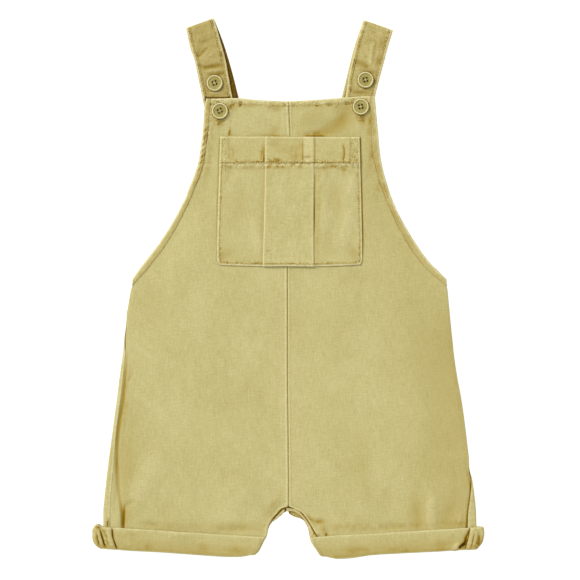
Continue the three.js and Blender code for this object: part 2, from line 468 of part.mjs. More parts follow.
function strapRow(r, z, n, dx = 0, dy = 0) {
  return STRAP_ACROSS.map((t, j) => ({
    p: [lerp(r.xl, r.xr, t) + dx, lerp(r.yl, r.yr, t) + dy, z], n, h: j === 0 || j === 4 ? 0.75 : STRAP / 2,
  }));
}
for (const side of ['left', 'right']) {
  const { rear, fold, front } = STRAPS[side], r = (STRAP_FRONT - STRAP_REAR) / 2, back = r + STRAP / 2;
  const rows = rear.map((row) => strapRow(row, row.z, [0, 0, 1]));
  for (let k = 0; k <= 6; k++) {
    const a = Math.PI * k / 6, out = r * Math.sin(a) - back;
    rows.push(strapRow(fold, STRAP_REAR + r * (1 - Math.cos(a)), [-fold.nx * Math.sin(a), -fold.ny * Math.sin(a), Math.cos(a)], fold.nx * out, fold.ny * out));
  }
  for (const row of front) rows.push(strapRow(row, STRAP_FRONT, [0, 0, -1]));
  // the rear run rests flat: its edges keep the full thickness below
  for (const row of rows.slice(0, rear.length)) for (const s of row) if (s.h < STRAP / 2) s.p = [s.p[0], s.p[1], s.p[2] - (STRAP / 2 - s.h)];
  add(`strap_${side}`, wall(rows), STRAP_COLOUR);
}

// ---------------------------------------------------------------- pocket
// the patch pocket's two sides from mouth to foot
const POCKET = [
  { y: 151.0, xl: -67.8, xr: 71.6 }, { y: 146, xl: -68.0, xr: 71.8 }, { y: 138, xl: -68.3, xr: 71.9 },
  { y: 130, xl: -68.6, xr: 72.2 }, { y: 124.8, xl: -68.8, xr: 72.4 }, { y: 124.2, xl: -68.8, xr: 72.4 },
  { y: 108, xl: -69.3, xr: 72.9 }, { y: 92, xl: -69.8, xr: 73.3 }, { y: 74, xl: -70.3, xr: 73.7 },
  { y: 56, xl: -70.8, xr: 74.1 }, { y: 40, xl: -71.0, xr: 74.3 }, { y: 28, xl: -70.8, xr: 74.3 }, { y: 23.6, xl: -69.0, xr: 72.6 },
];
const PLEAT_LEFT = (y) => look([{ y: 151, x: -22.3 }, { y: 22, x: -25.5 }], 'y', y, 'x');
const PLEAT_RIGHT = () => 26.0;
const POCKET_COLS = [0, 0.5, 0.97, 1, 1.25, 1.5, 1.75, 2, 2.03, 2.5, 3]; // 1 and 2 are the pleat's two folds
const pocketX = (r, c) => (c <= 1 ? lerp(r.xl, PLEAT_LEFT(r.y), c) : c <= 2 ? lerp(PLEAT_LEFT(r.y), PLEAT_RIGHT(), c - 1) : lerp(PLEAT_RIGHT(), r.xr, c - 2));

const pocketPoint = (x, y, lift, h, sag = 0) => ({ p: [x, y - sag, frontHeight(x, y) + CLOTH / 2 + ON_PANEL + lift + h], n: UP, h });
// the foot of the pocket drops a little towards its middle
const footSag = (r, c) => (r.y < 30 ? 1.6 * Math.sin(Math.PI * c / 3) : 0);

add('pocket', wall(POCKET.filter((r) => r.y < 124.5).map((r) => [0, 0.5, 1, 1.5, 2, 2.5, 3].map((c) => pocketPoint(pocketX(r, c), r.y, 0, CLOTH / 2, footSag(r, c))))), CLOTH_COLOUR);
add('pocket_pleat', wall(POCKET.filter((r) => r.y < 124.5).map((r) => [1, 1.25, 1.5, 1.75, 2].map((c) => pocketPoint(pocketX(r, c), r.y, CLOTH + GAP, CLOTH / 2, footSag(r, c))))), CLOTH_COLOUR);
add('pocket_hem', wall(POCKET.filter((r) => r.y > 124.5).map((r) => POCKET_COLS.map((c) => pocketPoint(pocketX(r, c), r.y, 0, (c >= 1 && c <= 2 ? 3.0 : 2.2) / 2)))), EDGE_COLOUR);

// ---------------------------------------------------------------- buttons
// a four-hole button: domed back, raised round rim, dished middle
const wasm = await Module();
wasm.setup();
function solid(geometry) {
  const g = geometry.clone();
  for (const key of ['normal', 'uv']) g.deleteAttribute(key);
  const m = mergeVertices(g, 1e-4);
  return new wasm.Manifold(new wasm.Mesh({ numProp: 3, vertProperties: new Float32Array(m.attributes.position.array), triVerts: new Uint32Array(m.index.array) }));
}
function buttonGeometry() {
  const R = BUTTON_D / 2, T = BUTTON_T;
  const half = [[0, 0], [R * 0.55, 0], [R * 0.92, 0.55], [R, 1.4], [R - 0.25, T - 0.35], [R - 0.8, T], [R - 1.45, T - 0.35], [R - 1.9, T - 1.0], [0, T - 1.15]];
  const body = new THREE.LatheGeometry(half.map(([x, y]) => new THREE.Vector2(x, y)), 24).rotateX(Math.PI / 2);
  let button = solid(body);
  for (let k = 0; k < 4; k++) {
    const a = Math.PI / 4 + k * Math.PI / 2;
    const hole = new THREE.CylinderGeometry(HOLE_D / 2, HOLE_D / 2, T * 3, 8).rotateX(Math.PI / 2).translate(HOLE_R * Math.cos(a), HOLE_R * Math.sin(a), 0);
    button = button.subtract(solid(hole));
  }
  const out = button.getMesh(), pos = [];
  for (let i = 0; i < out.numVert; i++) pos.push(out.vertProperties[i * out.numProp], out.vertProperties[i * out.numProp + 1], out.vertProperties[i * out.numProp + 2]);
  const g = new THREE.BufferGeometry();
  g.setAttribute('position', new THREE.Float32BufferAttribute(pos, 3));
  g.setIndex([...out.triVerts]);
  g.computeVertexNormals();
  return g;
}
// where each button is sewn, how it is turned, and what it sits on
const STRAP_TOP = STRAP_FRONT + STRAP / 2;
const BUTTONS = [
  { name: 'button_upper_right', x: -73.4, y: 204.8, turn: 20, on: STRAP_TOP },
  { name: 'button_lower_right', x: -68.0, y: 176.8, turn: 25, on: frontHeight(-68.0, 176.8) + CLOTH / 2 + 0.1 },
  { name: 'button_upper_left', x: 77.4, y: 208.0, turn: 15, on: STRAP_TOP },
  { name: 'button_lower_left', x: 72.6, y: 181.0, turn: 10, on: frontHeight(72.6, 181.0) + CLOTH / 2 + 0.1 },
];
const buttonShape = buttonGeometry();
for (const b of BUTTONS) {
  const mesh = new THREE.Mesh(buttonShape, new THREE.MeshStandardMaterial({ color: BUTTON_COLOUR, roughness: 0.35, metalness: 0 }));
  mesh.name = b.name;
  mesh.position.set(b.x, b.y, b.on + GAP);
  mesh.rotation.z = THREE.MathUtils.degToRad(b.turn);
  group.add(mesh);
}

export default group;
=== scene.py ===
# The looks of a toddler's short dungarees, laid flat on their back. Millimetres in the tables
# and functions below, metres in the meshes. X runs to the wearer's left, Y to the shoulders,
# Z up from the table. "left" and "right" are the wearer's: the wearer's left is at +X.
import math

import bpy
import numpy as np
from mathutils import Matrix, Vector, kdtree


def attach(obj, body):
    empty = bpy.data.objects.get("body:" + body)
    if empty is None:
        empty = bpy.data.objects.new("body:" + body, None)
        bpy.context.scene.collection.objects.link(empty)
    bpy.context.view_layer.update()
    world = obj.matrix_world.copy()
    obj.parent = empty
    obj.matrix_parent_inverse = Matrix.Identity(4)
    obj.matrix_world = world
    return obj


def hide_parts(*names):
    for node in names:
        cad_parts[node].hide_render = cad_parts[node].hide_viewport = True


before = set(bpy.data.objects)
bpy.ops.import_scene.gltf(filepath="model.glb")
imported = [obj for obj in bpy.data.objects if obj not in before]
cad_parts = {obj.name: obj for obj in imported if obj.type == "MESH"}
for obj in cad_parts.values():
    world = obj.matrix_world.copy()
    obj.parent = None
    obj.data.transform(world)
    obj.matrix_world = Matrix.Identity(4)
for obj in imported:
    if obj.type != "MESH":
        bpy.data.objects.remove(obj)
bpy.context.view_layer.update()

# ------------------------------------------------------------------ driving sizes
CLOTH = 1.2        # a panel's wall
HEM = 2.0          # a turned hem
STRAP = 2.0        # a strap
GAP = 0.3          # what the solids leave at a seam
SLIT = 0.03        # what the finished cloth leaves there
ON_PANEL = 0.4     # clear space under the pocket
BACK_MID = 0.6
LEG_MID = 3.8
CUFF_BACK, CUFF_FRONT = 1.75, 5.35
LEAF_OUT, LEAF_IN = 0.95, -0.75
TURNUP = 1.6
STRAP_REAR, STRAP_FRONT = 1.0, 3.3
STITCH = 2.6       # stitch pitch
THREAD_R = 0.37   # thread radius
SIGN = {"right": -1.0, "left": 1.0}
SIDES = ("left", "right")


# ------------------------------------------------------------------ small helpers
def smooth(t):
    t = np.clip(t, 0.0, 1.0)
    return t * t * (3 - 2 * t)


def lerp(a, b, t):
    return a + (b - a) * t


def bell(d, w):
    return np.exp(-(np.asarray(d) / w) ** 2)


def table(columns, rows):
    names = columns.split()
    return {n: np.array([r[i] for r in rows], float) for i, n in enumerate(names)}


def curve(x, y, at):
    """A smooth line through a table's rows that never overshoots them."""
    x, y, at = np.asarray(x, float), np.asarray(y, float), np.asarray(at, float)
    if x[0] > x[-1]:
        x, y = x[::-1], y[::-1]
    h = np.diff(x)
    d = np.diff(y) / h
    m = np.zeros_like(y)
    both = d[:-1] * d[1:]
    total = d[:-1] + d[1:]
    m[1:-1] = np.where(both > 0, 2 * both / np.where(np.abs(total) < 1e-12, 1, total), 0)
    m[0], m[-1] = d[0], d[-1]
    i = np.clip(np.searchsorted(x, at) - 1, 0, len(x) - 2)
    t = np.clip((at - x[i]) / h[i], 0, 1)
    t2, t3 = t * t, t * t * t
    return ((2 * t3 - 3 * t2 + 1) * y[i] + (t3 - 2 * t2 + t) * h[i] * m[i]
            + (3 * t2 - 2 * t3) * y[i + 1] + (t3 - t2) * h[i] * m[i + 1])


def look(t, key, at, out):
    return curve(t[key], t[out], at)


def line(t, key, at, out):
    """As look, but straight between rows."""
    x, y = t[key], t[out]
    return np.interp(at, x, y) if x[0] < x[-1] else np.interp(at, x[::-1], y[::-1])


def hash01(ix, iy, seed):
    h = (ix.astype(np.int64) * 374761393 + iy.astype(np.int64) * 668265263 + seed * 144269504) & 0xFFFFFFFF
    h = ((h ^ (h >> 13)) * 1274126177) & 0xFFFFFFFF
    h = h ^ (h >> 16)
    return (h & 0xFFFF) / 65535.0


def noise(x, y=0.0, seed=1):
    """Smooth noise from -1 to 1, the same on every run."""
    x, y = np.broadcast_arrays(np.asarray(x, float), np.asarray(y, float))
    ix, iy = np.floor(x), np.floor(y)
    u, v = smooth(x - ix), smooth(y - iy)
    a, b = hash01(ix, iy, seed), hash01(ix + 1, iy, seed)
    c, d = hash01(ix, iy + 1, seed), hash01(ix + 1, iy + 1, seed)
    return 2 * lerp(lerp(a, b, u), lerp(c, d, u), v) - 1


def fbm(x, y, seed=1, octaves=3):
    total, gain = 0.0, 1.0
    for k in range(octaves):
        total = total + gain * noise(x * 2 ** k, y * 2 ** k, seed + 17 * k)
        gain *= 0.5
    return total / 1.75


FOLD_COLUMNS = "x y angle length width high bow"


def folds(rows, x, y):
    """Height of listed soft creases: each is a straight or bowed ridge (high > 0) or trough."""
    z = np.zeros(np.broadcast(x, y).shape)
    for cx, cy, angle, length, width, high, bow in rows:
        a = math.radians(angle)
        along = (x - cx) * math.cos(a) + (y - cy) * math.sin(a)
        off = -(x - cx) * math.sin(a) + (y - cy) * math.cos(a) - bow * (2 * along / length) ** 2
        taper = smooth((length / 2 - np.abs(along)) / (0.38 * length))
        z = z + high * taper * np.exp(-(off / width) ** 2)
    return z


def pinched(rows, x, y):
    """Lines of dye and painted shade, each dark at its middle with a softer margin."""
    wide = [(*row[:4], 2.2 * row[4] + 0.5, 0.3 * row[5], row[6]) for row in rows]
    return folds(rows, x, y) + folds(wide, x, y)


def stains_and_shade(rows, x, y):
    """Where the cloth is darker from dyeing and from painted shade: soft patches, listed one by one."""
    z = np.zeros(np.broadcast(x, y).shape)
    for cx, cy, angle, length, width, much in rows:
        a = math.radians(angle)
        along = ((x - cx) * math.cos(a) + (y - cy) * math.sin(a)) / (0.5 * length)
        off = (-(x - cx) * math.sin(a) + (y - cy) * math.cos(a)) / (0.5 * width)
        broken = lerp(0.75 + 0.5 * noise(x / 3.3, y / 3.3, 301) * smooth(width / 4), 0.77 + 0.14 * noise(x / 9, y / 9, 303), smooth((width - 10) / 5))
        z = z + much * np.exp(-(along ** 2 + off ** 2) * 1.4) * broken
    return z


def rounding(d, r, least=0.12):
    """How much of its half thickness a wall keeps at distance d from an edge of radius r."""
    u = np.clip(1 - d / r, 0, 1)
    return np.maximum(np.sqrt(np.maximum(1 - u * u, 0)), least)


def spread(width, head, tail, middle):
    """Places across a row: fixed distances from both ends and an even stretch between."""
    width = np.asarray(width, float)[..., None]
    head, tail = np.array(head), np.array(tail)
    t = np.linspace(0, 1, middle + 2)[1:-1]
    mid = lerp(head[-1], width - tail[-1], t)
    first = np.broadcast_to(head, width.shape[:-1] + head.shape)
    last = width - tail[::-1]
    return np.concatenate([first, mid, last], axis=-1)


# ------------------------------------------------------------------ meshes
def coarse(n, k):
    idx = list(range(0, n, k))
    if idx[-1] != n - 1:
        if n - 1 - idx[-1] < k / 2 and len(idx) > 2:
            idx[-1] = n - 1
        else:
            idx.append(n - 1)
    return np.array(idx)


def volume(v, quads, tris):
    t = np.concatenate([tris, quads[:, [0, 1, 2]], quads[:, [0, 2, 3]]])
    a, b, c = v[t[:, 0]], v[t[:, 1]], v[t[:, 2]]
    return float(np.einsum("ij,ij->i", a, np.cross(b, c)).sum() / 6)


def mesh_of(name, verts, quads, tris, material, cloth=None, dye=None, wear_and_highlight=None, crinkle=None):
    verts = np.asarray(verts, float)
    quads = np.asarray(quads, np.int64).reshape(-1, 4)
    tris = np.asarray(tris, np.int64).reshape(-1, 3)
    if volume(verts, quads, tris) < 0:
        quads, tris = quads[:, ::-1], tris[:, ::-1]
    me = bpy.data.meshes.new(name)
    loops = np.concatenate([quads.ravel(), tris.ravel()]).astype(np.int32)
    starts = np.concatenate([np.arange(len(quads)) * 4, len(quads) * 4 + np.arange(len(tris)) * 3]).astype(np.int32)
    me.vertices.add(len(verts))
    me.vertices.foreach_set("co", (verts * 0.001).astype(np.float32).ravel())
    me.loops.add(len(loops))
    me.loops.foreach_set("vertex_index", loops)
    me.polygons.add(len(starts))
    me.polygons.foreach_set("loop_start", starts)
    me.update(calc_edges=True)
    me.polygons.foreach_set("use_smooth", np.ones(len(starts), bool))
    zero = np.zeros(len(verts))
    a = me.attributes.new("cloth", "FLOAT_VECTOR", "POINT")
    a.data.foreach_set("vector", np.asarray(verts if cloth is None else cloth, np.float32).ravel())
    for key, values in (("dye", dye), ("wear_and_highlight", wear_and_highlight), ("crinkle", crinkle)):
        a = me.attributes.new(key, "FLOAT", "POINT")
        values = zero if values is None else np.clip(values, 0, 2)
        a.data.foreach_set("value", np.asarray(values, np.float32).ravel())
    me.materials.append(material)
    ob = bpy.data.objects.new(name, me)
    bpy.context.scene.collection.objects.link(ob)
    return ob


def fan(fine, cut, far, flip, tris):
    """Joins a fine edge to a coarse one that shares every cut-th point."""
    for k in range(len(cut) - 1):
        a, b, u0, u1 = cut[k], cut[k + 1], far[k], far[k + 1]
        for j in range(a, b):
            tris.append((u0, fine[j], fine[j + 1]) if flip else (u0, fine[j + 1], fine[j]))
        tris.append((u0, fine[b], u1) if flip else (u0, u1, fine[b]))


def shell(name, face, lining, material, cloth=None, dye=None, wear_and_highlight=None, crinkle=None, rk=3, ck=3):
    """A closed thin shell: a fine outer face, a coarser inner one, and rims between them."""
    R, C = face.shape[:2]
    ri, ci = coarse(R, rk), coarse(C, ck)
    lower = lining[np.ix_(ri, ci)]
    A, B = len(ri), len(ci)
    verts = np.concatenate([face.reshape(-1, 3), lower.reshape(-1, 3)])
    top = np.arange(R * C).reshape(R, C)
    low = R * C + np.arange(A * B).reshape(A, B)
    q1 = np.stack([top[:-1, :-1], top[:-1, 1:], top[1:, 1:], top[1:, :-1]], -1).reshape(-1, 4)
    q2 = np.stack([low[:-1, :-1], low[1:, :-1], low[1:, 1:], low[:-1, 1:]], -1).reshape(-1, 4)
    tris = []
    fan(top[0], ci, low[0], False, tris)
    fan(top[-1], ci, low[-1], True, tris)
    fan(top[:, 0], ri, low[:, 0], True, tris)
    fan(top[:, -1], ri, low[:, -1], False, tris)

    def both(a, depth=1):
        if a is None:
            return None
        a = np.broadcast_to(a, face.shape[:2] + ((3,) if depth == 3 else ()))
        sub = a[np.ix_(ri, ci)]
        return np.concatenate([a.reshape((-1, 3) if depth == 3 else (-1,)), sub.reshape((-1, 3) if depth == 3 else (-1,))])

    return mesh_of(name, verts, np.concatenate([q1, q2]), tris, material, both(cloth, 3), both(dye), both(wear_and_highlight), both(crinkle))


SURFACE = {}


def remember(key, face, relief_normal=None):
    """Keeps a face's points so that stitches can be laid on it."""
    pts = face.reshape(-1, 3)
    kd = kdtree.KDTree(len(pts))
    for i, p in enumerate(pts):
        kd.insert((p[0], p[1], 0.0), i)
    kd.balance()
    SURFACE[key] = (kd, pts)


def height_on(keys, x, y):
    best = -1e9
    for key in keys:
        kd, pts = SURFACE[key]
        found = kd.find_n((x, y, 0.0), 3)
        if found and found[0][2] < 3.0:
            w = [1 / (f[2] + 0.05) for f in found]
            z = sum(wi * pts[f[1]][2] for wi, f in zip(w, found)) / sum(w)
            best = max(best, z)
    return best

# ------------------------------------------------------------------ materials
LIGHT = 1.17       # how bright the studio makes a level white surface


def srgb(r, g, b):
    def one(v):
        v /= 255.0
        return v / 12.92 if v <= 0.04045 else ((v + 0.055) / 1.055) ** 2.4
    return (one(r), one(g), one(b), 1.0)


def seen(r, g, b):
    """The surface colour that this studio shows as r, g, b."""
    c = srgb(r, g, b)
    return (c[0] / LIGHT, c[1] / LIGHT, c[2] / LIGHT, 1.0)


class Finish:
    """A node material, built a node at a time."""

    def __init__(self, name):
        self.mat = bpy.data.materials.new(name)
        self.mat.use_nodes = True
        self.tree = self.mat.node_tree
        self.tree.nodes.clear()
        self.out = self.node("ShaderNodeOutputMaterial")
        self.shader = self.node("ShaderNodeBsdfPrincipled")
        self.link(self.shader.outputs["BSDF"], self.out.inputs["Surface"])

    def node(self, kind, **props):
        n = self.tree.nodes.new(kind)
        for k, v in props.items():
            setattr(n, k, v)
        return n

    def link(self, a, b):
        self.tree.links.new(a, b)

    def feed(self, socket, value):
        if isinstance(value, bpy.types.NodeSocket):
            self.link(value, socket)
        else:
            socket.default_value = value

    def math(self, op, a, b=0.0, clamp=False):
        n = self.node("ShaderNodeMath", operation=op, use_clamp=clamp)
        self.feed(n.inputs[0], a)
        self.feed(n.inputs[1], b)
        return n.outputs[0]

    def sum(self, *terms):
        total = terms[0]
        for t in terms[1:]:
            total = self.math("ADD", total, t)
        return total

    def part(self, kind):
        """Attribute values stored on the mesh."""
        n = self.node("ShaderNodeAttribute", attribute_type="GEOMETRY", attribute_name=kind)
        return n.outputs["Vector"] if kind == "cloth" else n.outputs["Fac"]

    def scaled(self, vector, x, y, z=1.0):
        n = self.node("ShaderNodeVectorMath", operation="MULTIPLY")
        self.link(vector, n.inputs[0])
        n.inputs[1].default_value = (x, y, z)
        return n.outputs[0]

    def noise(self, vector, detail=2.0, rough=0.5, distort=0.0):
        n = self.node("ShaderNodeTexNoise", noise_dimensions="3D")
        self.link(vector, n.inputs["Vector"])
        n.inputs["Scale"].default_value = 1.0
        n.inputs["Detail"].default_value = detail
        n.inputs["Roughness"].default_value = rough
        n.inputs["Distortion"].default_value = distort
        return n.outputs["Fac"]

    def centred(self, value, gain):
        """value 0..1 as a swing of -gain/2..gain/2."""
        return self.math("MULTIPLY", self.math("SUBTRACT", value, 0.5), gain)

    def span(self, value, lo, hi, to_lo=0.0, to_hi=1.0):
        n = self.node("ShaderNodeMapRange", clamp=True)
        self.feed(n.inputs["Value"], value)
        n.inputs["From Min"].default_value = lo
        n.inputs["From Max"].default_value = hi
        n.inputs["To Min"].default_value = to_lo
        n.inputs["To Max"].default_value = to_hi
        return n.outputs["Result"]

    def mix(self, factor, a, b, blend="MIX"):
        n = self.node("ShaderNodeMix", data_type="RGBA", blend_type=blend, clamp_factor=True)
        self.feed(n.inputs[0], factor)
        self.feed(n.inputs[6], a)
        self.feed(n.inputs[7], b)
        return n.outputs[2]

    def separate(self, vector):
        n = self.node("ShaderNodeSeparateXYZ")
        self.link(vector, n.inputs[0])
        return n.outputs[0], n.outputs[1]

    def bump(self, height, distance, strength=1.0, after=None):
        n = self.node("ShaderNodeBump")
        n.inputs["Strength"].default_value = strength
        n.inputs["Distance"].default_value = distance
        self.link(height, n.inputs["Height"])
        if after is not None:
            self.link(after, n.inputs["Normal"])
        return n.outputs["Normal"]

    def set(self, **values):
        for k, v in values.items():
            self.shader.inputs[k.replace("_", " ")].default_value = v


WARP, WEFT = 0.58, 0.64        # thread spacing, mm


def woven(name, light, dark, ochre, deep, worn_and_highlight, slub=1.0, mottle=0.5):
    """Plain-woven cotton and linen, dyed after sewing: slubs along both threads, a cloudy
    dye, darker where the cloth gathers from dye and painted shade, painted near-black brown as shadow in pinches and
    gaps, and paler on its edges and crests from wear and painted highlight."""
    f = Finish(name)
    at = f.part("cloth")
    u, v = f.separate(at)
    cloud = f.noise(f.scaled(at, 0.022, 0.015, 0.4), 3.0, 0.55)
    patch = f.noise(f.scaled(at, 0.105, 0.05, 0.3), 3.0, 0.6, 0.3)
    streak = f.noise(f.scaled(at, 0.8, 0.1, 0.3), 3.0, 0.6)
    cross = f.noise(f.scaled(at, 0.12, 0.8, 0.3), 2.0, 0.55)
    grain = f.noise(f.scaled(at, 0.7, 0.62, 0.3), 3.0, 0.7)
    crease = f.noise(f.scaled(at, 0.4, 0.37, 0.3), 2.0, 0.6, 0.7)
    drawn = f.part("crinkle")
    trough = f.math("MULTIPLY", drawn, f.span(crease, 0.5, 0.3))
    crest = f.math("MULTIPLY", drawn, f.span(crease, 0.5, 0.68))
    over_u = f.math("SINE", f.math("MULTIPLY", u, math.pi / WARP))
    over_v = f.math("SINE", f.math("MULTIPLY", v, math.pi / WEFT))
    weave = f.math("POWER", f.math("ABSOLUTE", f.math("MULTIPLY", over_u, over_v)), 0.6)
    tone = f.sum(f.centred(cloud, 0.7), f.centred(patch, 0.8 * mottle), f.centred(streak, 0.9 * slub),
                 f.centred(cross, 0.6 * slub), f.centred(grain, 1.4 * slub), 0.5)
    body = f.mix(f.span(tone, 0.05, 0.95), dark, light)
    # painted shade in the gaps between the woven threads
    body = f.mix(f.span(weave, 0.0, 0.35, 0.08, 0.0), body, deep)
    # dye and painted shade deepen the colour from ochre through brown, and the crinkles' troughs add painted shade
    darkened = f.math("ADD", f.part("dye"), f.math("MULTIPLY", trough, 0.5))
    darkened = f.math("MULTIPLY", darkened, f.span(f.sum(patch, f.centred(grain, 0.6)), 0.2, 0.7, 0.72, 1.1))
    body = f.mix(f.span(darkened, 0.0, 0.6), body, ochre)
    body = f.mix(f.span(darkened, 0.55, 1.05), body, deep)
    # painted shadow: values over 1 turn the cloth near-black brown in pinches, holes and gaps
    body = f.mix(f.span(f.part("dye"), 1.0, 2.0), body, seen(66, 42, 0))
    # wear and painted highlight: rubbed edges are paler, and the crinkles' crests are painted paler
    bright = f.math("ADD", f.part("wear_and_highlight"), f.math("MULTIPLY", crest, 0.6), clamp=True)
    rubbed_and_highlight = f.math("MULTIPLY", bright, f.span(f.sum(grain, f.centred(cross, 0.8)), 0.25, 0.6, 0.45, 1.0), clamp=True)
    body = f.mix(rubbed_and_highlight, body, worn_and_highlight)
    f.link(body, f.shader.inputs["Base Color"])
    f.link(f.span(grain, 0.2, 0.8, 0.84, 0.97), f.shader.inputs["Roughness"])
    threads = f.sum(f.math("MULTIPLY", weave, 0.45), f.math("MULTIPLY", streak, 0.9),
                    f.math("MULTIPLY", cross, 0.6), f.math("MULTIPLY", grain, 0.7))
    lumps = f.bump(patch, 0.0006, 0.5)
    small = f.bump(f.math("MULTIPLY", crease, drawn), 0.0009, 0.9, lumps)
    f.link(f.bump(threads, 0.00022, 0.9, small), f.shader.inputs["Normal"])
    f.set(Specular_IOR_Level=0.03)
    f.shader.inputs["Sheen Tint"].default_value = (0.95, 0.85, 0.5, 1.0)
    return f.mat


BODY_CLOTH = woven("body_cloth", seen(216, 207, 150), seen(189, 177, 113), seen(177, 153, 74), seen(136, 104, 8), seen(236, 227, 176))
HEM_CLOTH = woven("hem_cloth", seen(215, 205, 147), seen(189, 175, 109), seen(178, 153, 76), seen(138, 105, 8), seen(236, 226, 172), mottle=0.8)
STRAP_CLOTH = woven("strap_cloth", seen(214, 201, 139), seen(176, 158, 90), seen(162, 138, 64), seen(112, 82, 4), seen(234, 222, 164), mottle=1.1)


def thread_finish():
    f = Finish("thread")
    at = f.part("cloth")
    ply = f.noise(f.scaled(at, 1.2, 1.2, 1.2), 2.0, 0.5)
    body = f.mix(f.span(ply, 0.3, 0.7), seen(206, 193, 124), seen(230, 219, 160))
    # painted shade: the thread is darker where it goes into the cloth, and near-black brown in the button holes as
    # painted shadow
    body = f.mix(f.part("dye"), body, seen(150, 122, 44))
    body = f.mix(f.span(f.part("dye"), 1.0, 2.0), body, seen(44, 29, 0))
    f.link(body, f.shader.inputs["Base Color"])
    f.link(f.span(ply, 0.2, 0.8, 0.6, 0.8), f.shader.inputs["Roughness"])
    f.link(f.bump(ply, 0.0001, 0.6), f.shader.inputs["Normal"])
    f.set(Specular_IOR_Level=0.03)
    return f.mat


def button_finish():
    f = Finish("button_plastic")
    at = f.part("cloth")
    cloud = f.noise(f.scaled(at, 0.16, 0.16, 0.3), 3.0, 0.6, 0.8)
    specks = f.noise(f.scaled(at, 2.4, 2.4, 1.0), 2.0, 0.6)
    body = f.mix(f.span(f.sum(cloud, f.centred(specks, 0.4)), 0.3, 0.7), seen(157, 144, 66), seen(178, 165, 90))
    # wear and painted highlight: the rim's top is paler
    body = f.mix(f.part("wear_and_highlight"), body, seen(242, 234, 184))
    # painted shade: dark brown on the hole walls, and the dish darker towards its middle
    body = f.mix(f.part("dye"), body, seen(84, 60, 0))
    f.link(body, f.shader.inputs["Base Color"])
    f.link(f.span(specks, 0.2, 0.8, 0.3, 0.42), f.shader.inputs["Roughness"])
    f.link(f.bump(specks, 0.00003, 0.4), f.shader.inputs["Normal"])
    # inside the holes it is matt
    f.link(f.span(f.part("dye"), 0.5, 1.0, 0.4, 0.0), f.shader.inputs["Specular IOR Level"])
    f.link(f.span(f.part("dye"), 0.5, 1.0, 0.1, 0.0), f.shader.inputs["Coat Weight"])
    f.set(Coat_Roughness=0.25)
    return f.mat


THREAD = thread_finish()
PLASTIC = button_finish()

